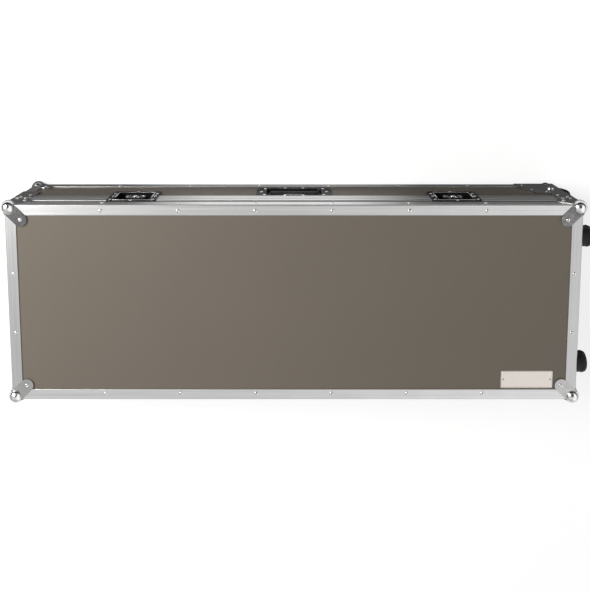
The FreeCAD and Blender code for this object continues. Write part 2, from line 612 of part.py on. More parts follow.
def latches(base_rim, lid_rim):
    """Recessed turn latches: a dish and a turn piece in the base, a hook, and a catch in the lid."""
    face, panel = f"(-{SIDE} - dish_t)", minus(PANEL_SIDE)
    back = f"{LATCH_FLOOR} + dish_t"
    front = f"-{SIDE} - overrun"
    base_rivets, lid_rivets, pins = [], [], []
    for name, side in (("wheel_end", "-"), ("handle_end", "+")):
        middle = f"{side}{LATCH_X}"
        plate = rounded("y", around(middle, "latch_width / 2"), (face, panel),
                        (f"{PARTING} - latch_base_h", f"{PARTING} + latch_lid_h"), "latch_corner_r")
        below = box(around(middle, "latch_width"), both("case_width"), ("0", RIM_TOP))
        above = box(around(middle, "latch_width"), both("case_width"), (PARTING, "case_height"))
        pocket_span, shell_span = around(middle, "latch_pocket_w / 2"), around(middle, LATCH_HALF)
        shell = box(shell_span, (face, back), (LATCH_LOW, RIM_TOP))
        pocket = box(pocket_span, (front, LATCH_FLOOR), (f"{PARTING} - latch_pocket_h", PARTING))
        hook_y, hook_z = f"({panel} + hook_in)", f"({PARTING} - hook_drop)"
        lugs = []
        for lug_side in ("-", "+"):
            centre = f"{middle} {lug_side} (hook_width / 2 + fit_gap + lug_t / 2)"
            lug_span = around(centre, "lug_t / 2")
            lugs.append(box(lug_span, (hook_y, LATCH_FLOOR), around(hook_z, "hook_barrel_r")))
            lugs.append(rod("hook_barrel_r", lug_span, hook_y, hook_z))
        pin_hole = rod("hook_pin_r + run_gap", around(middle, "latch_width"), hook_y, hook_z)
        turn_z = f"({PARTING} - turn_drop)"
        spindle_hole = rod("spindle_r + run_gap", middle, (front, f"{back} + overrun"), turn_z)
        dish = join(cut(join(shared(plate, below), shell), pocket, base_rim), *lugs)
        node(f"latch_dish_{name}", cut(dish, pin_hole, spindle_hole))
        pins.append(rod("hook_pin_r", around(middle, "hook_width / 2 + fit_gap + lug_t"), hook_y, hook_z))

        turn_top = f"({panel} + turn_in - turn_t)"
        wing_top = f"{turn_top} - wing_t"
        disc = rod("turn_r", middle, (turn_top, f"{turn_top} + turn_t"), turn_z)
        spindle = rod("spindle_r", middle, (turn_top, back), turn_z)
        wings = rounded("y", around(middle, "wing_reach"), (wing_top, turn_top),
                        around(turn_z, "wing_w / 2"), "wing_w / 3")
        ridge = box(around(middle, "wing_reach / 2"), (f"{wing_top} - wing_rise", turn_top),
                    around(turn_z, "wing_t / 2"))
        swept = rod("wing_reach", middle, (f"{turn_top} - overrun", turn_top), turn_z)
        node(f"latch_turn_{name}", join(disc, spindle, shared(join(wings, ridge), swept)))

        strap_span = around(middle, "hook_width / 2")
        hook_top = f"{PARTING} + hook_reach"
        barrel = rod("hook_barrel_r", strap_span, hook_y, hook_z)
        blade = box(strap_span, around(hook_y, "hook_t / 2"), (hook_z, hook_top))
        nib = box(strap_span, (hook_y, f"{LATCH_FLOOR} - strike_h - fit_gap"),
                  (f"{hook_top} - hook_t", hook_top))
        node(f"latch_hook_{name}", cut(join(barrel, blade, nib), pin_hole))

        lid_shell = box(shell_span, (face, back), (PARTING, f"{PARTING} + catch_pocket_h + dish_t"))
        lid_pocket = box(pocket_span, (front, LATCH_FLOOR), (RIM_TOP, f"{PARTING} + catch_pocket_h"))
        strike_foot = f"{PARTING} + strike_rise"
        strike = box(around(middle, "strike_w / 2"), (f"{LATCH_FLOOR} - strike_h", LATCH_FLOOR),
                     (strike_foot, f"{strike_foot} + strike_h"))
        catch = cut(join(shared(plate, above), lid_shell), lid_pocket, lid_rim)
        node(f"latch_catch_{name}", join(catch, strike))

        for across in ("-", "+"):
            x = f"{middle} {across} (latch_width + latch_pocket_w) / 4"
            for share in LATCH_RIVET_SHARES:
                z = f"{PARTING} - latch_base_h * {share}"
                base_rivets.append(dome("-y", x, face, z, "small_rivet_r"))
            lid_rivets.append(dome("-y", x, face, f"{PARTING} + latch_lid_h / 2", "small_rivet_r"))
        low_z = f"{PARTING} - (latch_base_h + latch_pocket_h) / 2"
        high_z = f"{PARTING} + (latch_lid_h + catch_pocket_h) / 2"
        base_rivets.append(dome("-y", middle, face, low_z, "small_rivet_r"))
        lid_rivets.append(dome("-y", middle, face, high_z, "small_rivet_r"))
    node("hook_pins", *pins)
    return base_rivets, lid_rivets


def hinges():
    """Three stop hinges on the hinge side; the outer knuckles are the base's."""
    axis_y = f"({SIDE} + knuckle_r)"
    leaves = (SIDE, f"{SIDE} + leaf_t")
    base_leaves, lid_leaves, pins = [], [], []
    rivets = {"base": [], "lid": []}
    for index in (-1, 0, 1):
        middle = f"{index} * hinge_pitch"
        width = around(middle, "hinge_width / 2")
        mid_span = around(middle, "hinge_width / 6")
        barrel = rod("knuckle_r", width, axis_y, PARTING)
        bore = rod("hinge_pin_r + run_gap", around(middle, "hinge_width"), axis_y, PARTING)
        gap = box(around(middle, "hinge_width / 6 + fit_gap"), (minus(SIDE), f"{SIDE} + overrun"),
                  (f"{PARTING} - knuckle_r - fit_gap", f"{PARTING} + overrun"))
        plate = box(width, leaves, (f"{PARTING} - leaf_h", PARTING))
        trim = box(width, (minus(SIDE), SIDE), around(PARTING, "overrun"))
        base_leaves.append(cut(join(plate, barrel), bore, gap, trim))
        lid_plate = box(width, leaves, (f"{PARTING} + knuckle_r + fit_gap", f"{PARTING} + leaf_h"))
        tab = box(mid_span, leaves, (PARTING, f"{PARTING} + leaf_h"))
        mid_barrel = rod("knuckle_r", mid_span, axis_y, PARTING)
        lid_leaves.append(cut(join(lid_plate, tab, mid_barrel), bore, trim))
        pins.append(rod("hinge_pin_r", width, axis_y, PARTING))
        for across in ("-", "+"):
            x = f"{middle} {across} hinge_width / 3"
            for part, up in (("base", "-"), ("lid", "+")):
                z = f"{PARTING} {up} leaf_h * 2 / 3"
                rivets[part].append(dome("+y", x, f"{SIDE} + leaf_t", z, "small_rivet_r"))
    node("hinge_base_leaves", *base_leaves)
    node("hinge_lid_leaves", *lid_leaves)
    node("hinge_pins", *pins)
    return rivets


def foam():
    """Flat pads cut to fit round the wheel wells, the latches and the handles, and butted together."""
    room_end, room_side = f"({INNER_END} - fit_gap)", f"({INNER_SIDE} - fit_gap)"
    floor_z = (f"{FLOOR_TOP} + fit_gap", f"{FLOOR_TOP} + fit_gap + floor_foam_t")
    floor = box(both(room_end), both(room_side), floor_z)
    grown_well = well_space("fit_gap")
    node("base_floor_foam", cut(floor, grown_well, mirror(grown_well, "y")))

    low, top = f"{floor_z[1]} + fit_gap", f"{RIM_TOP} - rim_inner_leg - fit_gap"
    tall, over_well = (low, top), (f"{WELL_TOP} + fit_gap", top)
    under_latch = (low, f"{LATCH_LOW} - fit_gap")
    handle_low, handle_high = around(DISH_Z, f"{POCKET_H} / 2 + dish_t + fit_gap")
    handle_half = f"({HANDLE_HALF} + fit_gap)"
    latch_near, latch_far = around(LATCH_X, f"{LATCH_HALF} + fit_gap")
    past_well, beside_well = f"{WELL_END} + fit_gap", f"({WELL_IN} - fit_gap)"

    side_y = (minus(room_side), f"-{room_side} + side_foam_t")
    over_well_pad = box((minus(room_end), past_well), side_y, over_well)
    by_latches = [box(x, side_y, z) for x, z in (
        ((past_well, minus(latch_far)), tall), ((minus(latch_far), minus(latch_near)), under_latch),
        ((minus(latch_near), minus(handle_half)), tall), (both(handle_half), (low, handle_low)),
        (both(handle_half), (handle_high, top)), ((handle_half, latch_near), tall),
        ((latch_near, latch_far), under_latch), ((latch_far, room_end), tall))]
    by_hinges = mirror(box((past_well, room_end), side_y, tall), "y")
    node("base_side_foams", over_well_pad, *by_latches, mirror(over_well_pad, "y"), by_hinges)

    end_half = f"({room_side} - side_foam_t - fit_gap)"
    end_x = (f"{room_end} - side_foam_t", room_end)
    wheel_x = (minus(room_end), f"-{room_end} + side_foam_t")
    beside = box(end_x, (handle_half, end_half), tall)
    above_well = box(wheel_x, (beside_well, end_half), over_well)
    node("base_end_foams", box(end_x, both(handle_half), (low, handle_low)),
         box(end_x, both(handle_half), (handle_high, top)), beside, mirror(beside, "y"),
         box(wheel_x, both(beside_well), tall), above_well, mirror(above_well, "y"))
    lid_z = (f"{LID_UNDER} - fit_gap - lid_foam_t", f"{LID_UNDER} - fit_gap")
    node("lid_foam", box(both(room_end), both(room_side), lid_z))


def feet():
    """Tapered rubber feet on the wheel end of the lid, each with a screw in its well."""
    tip = f"-{END} - wheel_proud"
    well_floor = f"{tip} + foot_well_depth"
    z = "case_height - foot_drop"
    screws = []
    for name, side in (("latch_side", "-"), ("hinge_side", "+")):
        y = f"{side}({SIDE} - foot_inset)"
        straight = rod("foot_r", (f"{tip} + foot_taper", minus(END)), y, z)
        nose = taper("foot_tip_r", "foot_r", (tip, f"{tip} + foot_taper"), y, z)
        well = rod("foot_well_r", (f"{tip} - overrun", well_floor), y, z)
        hole = rod("screw_r + run_gap", (f"{tip} - overrun", f"-{END} + overrun"), y, z)
        node(f"rubber_foot_{name}", cut(join(straight, nose), well, hole))
        head = rod("screw_head_r", (f"{well_floor} - screw_head_t", well_floor), y, z)
        screws.append(join(head, rod("screw_r", (f"{well_floor} - screw_head_t", minus(END)), y, z)))
    node("foot_screws", *screws)


def nameplate():
    """A bare plate near the wheel end of the lid, on the hinge side."""
    x, y = f"(-{END} + plate_from_end)", f"({SIDE} - plate_from_side)"
    seat = f"({LID_UNDER} + panel_t)"
    node("nameplate", rounded("z", around(x, "plate_length / 2"), around(y, "plate_width / 2"),
                              (seat, f"{seat} + plate_t"), "plate_corner_r"))
    inset = "(plate_length / 2 - plate_screw_inset)"
    node("nameplate_screws", *[dome("+z", f"{x} {side} {inset}", y, f"{seat} + plate_t", "plate_screw_r")
                               for side in ("-", "+")])


def edge_rivets():
    """Rivets along the flanges of the base's edges, and of the lid's as their mirror image."""
    base, lid = [], []
    steps = [f"(2 * {index} - 5) / 2 * rivet_pitch" for index in range(6)]
    for across in ("-", "+"):
        face = f"{across}y"
        for step in steps:
            under = dome("-z", step, f"{across}({SIDE} - rivet_from_edge)", "0")
            side = dome(face, step, f"{across}{SIDE}", "side_rivet_from_edge")
            base += [under, side]
            lid += [mirror(under, "z"), mirror(side, "z")]
    for end in ("-", "+"):
        for across in ("-", "+"):
            y = f"{across}end_rivet_pitch / 2"
            under = dome("-z", f"{end}({END} - rivet_from_edge)", y, "0")
            side = dome(f"{end}x", f"{end}{END}", y, "side_rivet_from_edge")
            base += [under, side]
            lid += [mirror(under, "z")]
    for across in ("-", "+"):
        lid.append(dome("+x", END, f"{across}end_rivet_pitch / 2", "case_height - side_rivet_from_edge"))
    return base, lid


def corner_rivets():
    """Rivets in the straps, the plates beside the parting line and the wheel brackets."""
    def both_sides(rivet):
        return [rivet, mirror(rivet, "y")]

    base, lid = [], []
    for end in ("-", "+"):
        out_x, in_x = f"{end}({END} + strap_t)", f"{end}({END} - strap_reach)"
        straps = [dome("-z", in_x, f"-{SIDE} + strap_reach", "-strap_t"),
                  dome("-y", in_x, f"-{SIDE} - strap_t", "strap_reach"),
                  dome(f"{end}x", out_x, f"-{SIDE} + strap_reach", "strap_reach")]
        for rivet in straps:
            lid += both_sides(mirror(rivet, "z"))
            if end == "+":
                base += both_sides(rivet)
        plate_x, plate_y = f"{end}({END} + parting_t)", f"-{SIDE} - parting_t"
        lid_z = f"{PARTING} + parting_lid_h / 4"
        for share in PARTING_RIVET_SHARES:
            along_x = f"{end}({END} - parting_reach * {share})"
            along_y = f"-{SIDE} + parting_reach * {share}"
            base_z = f"{RIM_TOP} - parting_reach * {share}"
            for rivets, z in ((base, base_z), (lid, lid_z)):
                rivets += both_sides(dome("-y", along_x, plate_y, z, "small_rivet_r"))
                rivets += both_sides(dome(f"{end}x", plate_x, along_y, z, "small_rivet_r"))
    outside = f"-{SIDE} - bracket_proud"
    for share_x, share_z in BRACKET_RIVET_SHARES:
        x = f"-{END} + bracket_length * {share_x}"
        base += both_sides(dome("-y", x, outside, f"{WELL_TOP} * {share_z}", "small_rivet_r"))
    floor_y = f"-{SIDE} + bracket_floor_w - rivet_from_edge"
    base += both_sides(dome("-z", f"{BRACKET_END} - rivet_from_edge", floor_y, "-bracket_proud"))
    end_y = f"-{SIDE} + bracket_end_w - rivet_r - bracket_t"
    base += both_sides(dome("-x", f"-{END} - bracket_proud", end_y, f"{WELL_TOP} / 2", "small_rivet_r"))
    return base, lid


long_edge, end_edge, corner_angle = edges()
rim_parts, latch_rims = rims()
base_panels(rim_parts[0])
lid_panels(rim_parts[2])
top_corner = ball_corners(long_edge, end_edge, corner_angle, *rim_parts[2:])
parting_corners(*rim_parts, corner_angle, long_edge, end_edge, top_corner)
wheels()
handle_rivets = handles()
latch_base_rivets, latch_lid_rivets = latches(*latch_rims)
hinge_rivets = hinges()
foam()
feet()
nameplate()
edge_base, edge_lid = edge_rivets()
corner_base, corner_lid = corner_rivets()
node("base_rivets", *edge_base, *corner_base, *handle_rivets, *latch_base_rivets, *hinge_rivets["base"])
node("lid_rivets", *edge_lid, *corner_lid, *latch_lid_rivets, *hinge_rivets["lid"])

doc.recompute()
for thing in doc.Objects:
    if "Invalid" in thing.State or "Error" in thing.State:
        raise RuntimeError(f"{thing.Name} ({thing.Label}) failed: {thing.State}")
for group in nodes:
    if group.Shape.isNull() or not group.Shape.isValid():
        raise RuntimeError(f"{group.Label} has a bad shape")

os.makedirs("parts", exist_ok=True)
for group in nodes:
    group.Shape.exportStep(f"parts/{group.Label}.step")
    print(f"{group.Label}: {len(group.Shape.Solids)} solid(s), {group.Shape.Volume:.0f} cubic mm")
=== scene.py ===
import json
import math

import bmesh
import bpy
from mathutils import Matrix, Vector, noise


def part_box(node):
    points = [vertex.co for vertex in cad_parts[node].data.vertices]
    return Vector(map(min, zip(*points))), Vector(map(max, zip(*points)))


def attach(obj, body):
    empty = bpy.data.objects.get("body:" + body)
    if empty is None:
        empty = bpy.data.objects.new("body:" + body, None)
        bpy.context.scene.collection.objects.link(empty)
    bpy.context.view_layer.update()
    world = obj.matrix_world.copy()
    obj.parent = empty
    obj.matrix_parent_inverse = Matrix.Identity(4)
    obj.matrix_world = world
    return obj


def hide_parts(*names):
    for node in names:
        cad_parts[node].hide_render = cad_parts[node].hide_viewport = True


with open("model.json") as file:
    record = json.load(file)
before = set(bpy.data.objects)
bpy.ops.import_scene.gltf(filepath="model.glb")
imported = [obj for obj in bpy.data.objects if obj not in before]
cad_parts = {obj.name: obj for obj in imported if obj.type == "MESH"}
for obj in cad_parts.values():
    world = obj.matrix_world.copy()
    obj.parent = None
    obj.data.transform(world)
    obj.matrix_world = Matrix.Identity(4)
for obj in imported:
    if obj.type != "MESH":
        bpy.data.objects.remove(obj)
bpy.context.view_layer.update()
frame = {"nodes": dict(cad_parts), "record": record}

NODES = frame["nodes"]
SLOT_OF = {part["node"]: part["material_slot"] for part in frame["record"]["subparts"]}

# Sizes of the case are given in millimetres and scaled by MM where they are used
MM = 0.001
CASE_MIDDLE_X = 7.75
HALF_LENGTH, HALF_WIDTH = 580, 205


# Materials


class Paint:
    """A node material in the making."""

    def __init__(self, name, **constants):
        self.material = bpy.data.materials.new(name)
        self.material.use_nodes = True
        self.tree = self.material.node_tree
        self.surface = self.tree.nodes["Principled BSDF"]
        self.place = self.add("ShaderNodeTexCoord").outputs["Object"]
        for socket, value in constants.items():
            self.surface.inputs[socket.replace("_", " ")].default_value = value

    def add(self, kind, **settings):
        made = self.tree.nodes.new(kind)
        for name, value in settings.items():
            setattr(made, name, value)
        return made

    def put(self, socket, value):
        if isinstance(value, bpy.types.NodeSocket):
            self.tree.links.new(value, socket)
        else:
            socket.default_value = value

    def math(self, operation, one, other=0.0):
        made = self.add("ShaderNodeMath", operation=operation)
        self.put(made.inputs[0], one)
        self.put(made.inputs[1], other)
        return made.outputs[0]

    def times(self, one, other):
        return self.math("MULTIPLY", one, other)

    def axes(self):
        """The X, Y and Z of a place on the object."""
        made = self.add("ShaderNodeSeparateXYZ")
        self.put(made.inputs[0], self.place)
        return made.outputs

    def texture(self, kind, size, stretch=(1, 1, 1), seed=0.0, **settings):
        """A texture with features of about size metres, longer along axes with a larger stretch."""
        mapped = self.add("ShaderNodeMapping")
        self.put(mapped.inputs["Vector"], self.place)
        mapped.inputs["Location"].default_value = (seed, seed * 0.7, -seed * 1.3)
        mapped.inputs["Scale"].default_value = [1 / (size * factor) for factor in stretch]
        made = self.add(kind, **settings)
        self.put(made.inputs["Vector"], mapped.outputs["Vector"])
        made.inputs["Scale"].default_value = 1.0
        return made

    def noise(self, size, stretch=(1, 1, 1), detail=3.0, roughness=0.55, seed=0.0):
        made = self.texture("ShaderNodeTexNoise", size, stretch, seed)
        made.inputs["Detail"].default_value = detail
        made.inputs["Roughness"].default_value = roughness
        return made.outputs["Fac"]

    def cells(self, size, feature="F1"):
        return self.texture("ShaderNodeTexVoronoi", size, feature=feature).outputs["Distance"]

    def span(self, value, between, onto=(0.0, 1.0)):
        """A value between two limits carried onto another range, and held there."""
        made = self.add("ShaderNodeMapRange")
        for socket, number in zip(made.inputs, (value, *between, *onto)):
            self.put(socket, number)
        return made.outputs[0]

    def blend(self, share, one, other):
        """One colour, or the other where the share is 1."""
        made = self.add("ShaderNodeMix", data_type="RGBA")
        self.put(made.inputs["Factor"], share)
        for socket, value in zip(made.inputs[6:8], (one, other)):
            self.put(socket, value if isinstance(value, bpy.types.NodeSocket) else (*value, 1.0))
        return made.outputs[2]

    def edges(self, reach):
        """1 on convex and concave edges, 0 on flats."""
        soft = self.add("ShaderNodeBevel", samples=4)
        soft.inputs["Radius"].default_value = reach
        hard = self.add("ShaderNodeNewGeometry")
        made = self.add("ShaderNodeVectorMath", operation="DOT_PRODUCT")
        self.put(made.inputs[0], soft.outputs[0])
        self.put(made.inputs[1], hard.outputs["True Normal"])
        return self.span(self.math("SUBTRACT", 1.0, made.outputs["Value"]), (0.02, 0.35))

    def relief(self, *layers):
        """Bump from (height, depth in metres) layers."""
        normal = None
        for height, depth in layers:
            made = self.add("ShaderNodeBump")
            made.inputs["Distance"].default_value = depth
            self.put(made.inputs["Height"], height)
            if normal:
                self.put(made.inputs["Normal"], normal)
            normal = made.outputs["Normal"]
        self.put(self.surface.inputs["Normal"], normal)

    def finish(self, colour, roughness):
        self.put(self.surface.inputs["Base Color"], colour)
        self.put(self.surface.inputs["Roughness"], roughness)
        return self.material


def laminate():
    """Matt taupe laminate with a fine pebbled skin, cloudy at arm's length and faintly scuffed."""
    dark_taupe, pale_taupe = (0.152, 0.132, 0.107), (0.174, 0.151, 0.124)
    specked, scuffed = (0.122, 0.104, 0.082), (0.24, 0.215, 0.185)
    paint = Paint("laminate", Specular_IOR_Level=0.2)
    cloud = paint.noise(0.35, detail=2.0)
    speck = paint.noise(0.0011, detail=2.0, seed=3.0)
    rub = paint.noise(0.05, (6, 0.25, 6), detail=6.0, roughness=0.7, seed=8.0)
    colour = paint.blend(cloud, dark_taupe, pale_taupe)
    colour = paint.blend(paint.span(speck, (0.35, 0.7), onto=(0.0, 0.5)), colour, specked)
    colour = paint.blend(paint.span(rub, (0.69, 0.8), onto=(0.0, 0.25)), colour, scuffed)
    haze = paint.noise(0.02, detail=4.0, seed=5.0)
    paint.relief((paint.cells(0.0016, "SMOOTH_F1"), 0.00030), (speck, 0.00010))
    return paint.finish(colour, paint.span(haze, (0.3, 0.7), onto=(0.40, 0.52)))


DRAWN_ALONG = {"x": (400, 1, 1), "y": (1, 400, 1), "z": (1, 1, 400)}
# Painted light: runs along X are painted lighter and runs along Y darker, lit and shaded copies of
# one aluminium
EXTRUSION_PAINTED_LIGHT = {"x": 1.16, "y": 0.88, "z": 1.0}


def aluminium(axis):
    """Satin extruded aluminium with draw lines along one axis, rubbed brighter at the edges, and
    painted lighter for runs along X and darker for runs along Y.
    """
    # the tone by axis is painted light and shade
    tone = EXTRUSION_PAINTED_LIGHT[axis]
    trough, crest = [tone * 0.51, tone * 0.508, tone * 0.506], [tone * 0.70] * 3
    hazed, rubbed, scratched, nicked = ([grey] * 3 for grey in (0.46, 0.85, 0.80, 0.42))
    paint = Paint(f"extrusion_{axis}", Metallic=1.0)
    lines = paint.noise(0.0009, DRAWN_ALONG[axis], detail=5.0, roughness=0.65)
    haze = paint.noise(0.06, detail=4.0, seed=4.0)
    dents = paint.noise(0.006, detail=7.0, roughness=0.75, seed=11.0)
    scrapes = paint.noise(0.0007, (18, 18, 18), detail=9.0, roughness=0.85, seed=6.0)
    nick = paint.span(dents, (0.70, 0.76))
    scratch = paint.span(scrapes, (0.60, 0.66))
    colour = paint.blend(paint.span(lines, (0.36, 0.64)), trough, crest)
    colour = paint.blend(paint.times(haze, 0.35), colour, hazed)
    colour = paint.blend(paint.times(paint.edges(0.0012), 0.6), colour, rubbed)
    colour = paint.blend(paint.times(scratch, 0.3), colour, scratched)
    colour = paint.blend(paint.times(nick, 0.5), colour, nicked)
    satin = paint.span(lines, (0.3, 0.7), onto=(0.24, 0.36))
    paint.relief((lines, 0.00003), (nick, -0.00006))
    return paint.finish(colour, paint.math("ADD", satin, paint.times(haze, 0.10)))


# Ramps that pick out the tops of the lid's corner straps, by height, and its latch side, by Y,
# where a dark reflection is painted on the plating
STRAP_TOP = (0.2082, 0.2086)
LATCH_SIDE = (-0.10, -0.15)


def plated(name, tone, shine, wear=0.35, dark_reflection=0.0):
    """Plated pressings: smudged, lightly pitted, with darker metal where the plating has rubbed.

    A painted dark reflection, mottled, darkens the tops of the lid's corner straps on the latch
    side.
    """
    fresh, smudged = [tone * share for share in (1.0, 0.985, 0.97)], [tone * 0.9] * 3
    bare, reflected_dark = [tone * 0.72] * 3, [tone * 0.16, tone * 0.155, tone * 0.16]
    paint = Paint(name, Metallic=1.0)
    smear = paint.noise(0.012, (1, 1, 2.5), detail=5.0, roughness=0.6, seed=2.0)
    pits = paint.span(paint.noise(0.0014, detail=3.0, seed=7.0), (0.66, 0.74))
    rubs = paint.noise(0.02, detail=6.0, roughness=0.7, seed=9.0)
    rubbed = paint.span(rubs, (0.56, 0.72))
    colour = paint.blend(paint.span(smear, (0.35, 0.7)), fresh, smudged)
    colour = paint.blend(paint.times(rubbed, wear), colour, bare)
    # Painted dark reflection on the tops of the lid's corner straps on the latch side
    if dark_reflection:
        _, across, height = paint.axes()
        on_top = paint.times(paint.span(height, STRAP_TOP), paint.span(across, LATCH_SIDE))
        blotches = paint.noise(0.006, detail=5.0, roughness=0.75, seed=5.0)
        mottle = paint.span(blotches, (0.35, 0.65), onto=(0.6, 1.0))
        painted_dark = paint.times(paint.times(on_top, mottle), dark_reflection)
        colour = paint.blend(painted_dark, colour, reflected_dark)
    polish = paint.span(smear, (0.3, 0.75), onto=(shine, shine + 0.14))
    paint.relief((pits, -0.00004), (smear, 0.00004))
    return paint.finish(colour, paint.math("ADD", polish, paint.times(rubbed, 0.12)))


def enamel():
    """Black stoved enamel on pressed steel, orange-peeled, with bare steel on rubbed edges."""
    black, dusty, bare = (0.010, 0.010, 0.011), (0.030, 0.030, 0.031), (0.62, 0.61, 0.60)
    paint = Paint("black_enamel", Specular_IOR_Level=0.12)
    peel = paint.noise(0.0016, detail=2.0)
    dust = paint.noise(0.01, detail=6.0, roughness=0.7, seed=6.0)
    chips = paint.noise(0.004, detail=5.0, roughness=0.7, seed=13.0)
    worn = paint.times(paint.edges(0.0009), paint.span(chips, (0.42, 0.60)))
    colour = paint.blend(paint.span(dust, (0.45, 0.8), onto=(0.0, 0.5)), black, dusty)
    colour = paint.blend(worn, colour, bare)
    gloss = paint.noise(0.007, detail=3.0, seed=5.0)
    paint.put(paint.surface.inputs["Metallic"], worn)
    paint.relief((peel, 0.00004))
    return paint.finish(colour, paint.span(gloss, (0.3, 0.7), onto=(0.30, 0.44)))


def rubber(name, tone, gloss, grain=0.0012):
    """Moulded black rubber or plastic with a matt skin and dusty high spots."""
    clean, dusty = [tone] * 3, [tone * 2.2, tone * 2.15, tone * 2.05]
    scuffed = [tone * 3.4] * 3
    paint = Paint(name, Specular_IOR_Level=0.22)
    skin = paint.noise(grain, detail=3.0)
    dust = paint.noise(0.015, detail=6.0, roughness=0.7, seed=6.0)
    colour = paint.blend(paint.span(dust, (0.42, 0.75)), clean, dusty)
    colour = paint.blend(paint.times(paint.edges(0.0012), 0.35), colour, scuffed)
    sheen = paint.noise(0.006, detail=3.0, seed=1.0)
    paint.relief((skin, 0.00008))
    return paint.finish(colour, paint.span(sheen, (0.3, 0.7), onto=(gloss, gloss + 0.14)))


def foam_skin():
    """Charcoal foam with open cells."""
    pore, dark, pale = (0.010, 0.010, 0.011), (0.022, 0.022, 0.024), (0.040, 0.040, 0.043)
    paint = Paint("charcoal_foam", Specular_IOR_Level=0.15, Sheen_Weight=0.25,
                  Sheen_Roughness=0.6)
    cell = paint.cells(0.0009)
    tone = paint.noise(0.04, detail=3.0)
    colour = paint.blend(paint.span(cell, (0.1, 0.6)), pore, paint.blend(tone, dark, pale))
    paint.relief((cell, 0.00025))
    return paint.finish(colour, paint.span(tone, (0.3, 0.7), onto=(0.85, 0.97)))


def brushed_plate():
    """Bare aluminium plate, brushed along its length."""
    trough, crest, stained = (0.68, 0.62, 0.57), (0.84, 0.79, 0.73), (0.62, 0.58, 0.55)
    paint = Paint("brushed_plate", Metallic=1.0)
    lines = paint.noise(0.0006, (60, 1, 1), detail=6.0, roughness=0.7)
    stain = paint.noise(0.02, detail=4.0, seed=3.0)
    colour = paint.blend(lines, trough, crest)
    colour = paint.blend(paint.times(stain, 0.25), colour, stained)
    satin = paint.span(lines, (0.3, 0.7), onto=(0.30, 0.44))
    paint.relief((lines, 0.00003))
    return paint.finish(colour, paint.math("ADD", satin, paint.times(stain, 0.08)))


LAMINATE = laminate()
ALUMINIUM = {axis: aluminium(axis) for axis in "xyz"}
# The pressings carry a painted dark reflection on the latch side's strap tops
PRESSED = plated("plated_pressing", tone=0.46, shine=0.16, dark_reflection=0.85)
CHROME = plated("bright_plating", tone=0.84, shine=0.06, wear=0.15)
STEEL = plated("plated_steel", tone=0.80, shine=0.18, wear=0.2)
DARK_STEEL = plated("dark_steel", tone=0.22, shine=0.35, wear=0.5)
# Painted highlight: bright plating on the latch pocket lips and the turn pieces' wing rims stands
# in for the shine along black enamel edges; the spindle caps share this plating
HIGHLIGHT_LIP = plated("highlight_lip_plating", tone=0.80, shine=0.12, wear=0.4)
ENAMEL = enamel()
GRIP = rubber("grip_rubber", tone=0.020, gloss=0.42)
FOOT = rubber("foot_rubber", tone=0.009, gloss=0.36)
TYRE = rubber("tyre_rubber", tone=0.011, gloss=0.44)
HUB = rubber("hub_plastic", tone=0.030, gloss=0.30, grain=0.0006)
FOAM = foam_skin()
PLATE = brushed_plate()

FINISH = {
    "panel": LAMINATE, "corner_metal": PRESSED, "rivet": STEEL, "black_steel": ENAMEL,
    "grip_rubber": GRIP, "foot_rubber": FOOT, "wheel_rubber": TYRE, "foam": FOAM, "plate": PLATE,
}
EXTRUSIONS = {
    "x": ["base_long_edges", "lid_long_edges", "base_rim_latch_side", "base_rim_hinge_side",
          "lid_rim_latch_side", "lid_rim_hinge_side"],
    "y": ["base_end_edges", "lid_end_edges", "base_end_rims", "lid_end_rims"],
    "z": ["base_corner_angles"],
}
RUNS_ALONG = {name: axis for axis, names in EXTRUSIONS.items() for name in names}

for name, part in NODES.items():
    finish = ALUMINIUM[RUNS_ALONG[name]] if name in RUNS_ALONG else FINISH[SLOT_OF[name]]
    part.data.materials.clear()
    part.data.materials.append(finish)

# The balls of the corners are brighter than their straps
BALL_RADIUS = 15.0
CAP_FROM = 14.6     # the least distance of a ball's own faces from its middle
BALL_TOLERANCE = 0.05


def ball_centre(x, y, z):
    """The middle of a ball, in millimetres, at the corner with the given signs."""
    return Vector((CASE_MIDDLE_X + x * 573.5, y * 198.5, 108.5 + z * 93.5))


BALLS = [ball_centre(x, y, z) * MM for x in (-1, 1) for y in (-1, 1) for z in (-1, 1)]


def on_ball(point):
    off = min(abs((point - ball).length - BALL_RADIUS * MM) for ball in BALLS)
    return off < BALL_TOLERANCE * MM


for name in ("base_ball_corners", "lid_ball_corners"):
    mesh = NODES[name].data
    mesh.materials.append(CHROME)
    for face in mesh.polygons:
        if min((face.center - ball).length for ball in BALLS) > CAP_FROM * MM and all(
                on_ball(mesh.vertices[index].co) for index in face.vertices):
            face.material_index = 1


# Tools for new pieces


COARSE_WELD, FINE_WELD = 1e-6, 1e-7


def weld(built, reach=FINE_WELD):
    bmesh.ops.remove_doubles(built, verts=built.verts, dist=reach)


def piece(name, body, materials, built, replaces=()):
    """A new piece in the row frame, from a bmesh, that rides on a body."""
    mesh = bpy.data.meshes.new(name)
    bmesh.ops.recalc_face_normals(built, faces=built.faces)
    built.to_mesh(mesh)
    built.free()
    made = bpy.data.objects.new(name, mesh)
    bpy.context.scene.collection.objects.link(made)
    for material in materials if isinstance(materials, list) else [materials]:
        mesh.materials.append(material)
    for face in mesh.polygons:
        face.use_smooth = True
    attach(made, body)
    if replaces:
        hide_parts(*replaces)
    return made


def in_mm(profile):
    """A profile given in millimetres, in metres."""
    return [(radius * MM, height * MM) for radius, height in profile]


def middle(name):
    """The middle and the size of a CAD node's box."""
    low, high = (Vector(corner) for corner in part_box(name))
    return (low + high) / 2, high - low


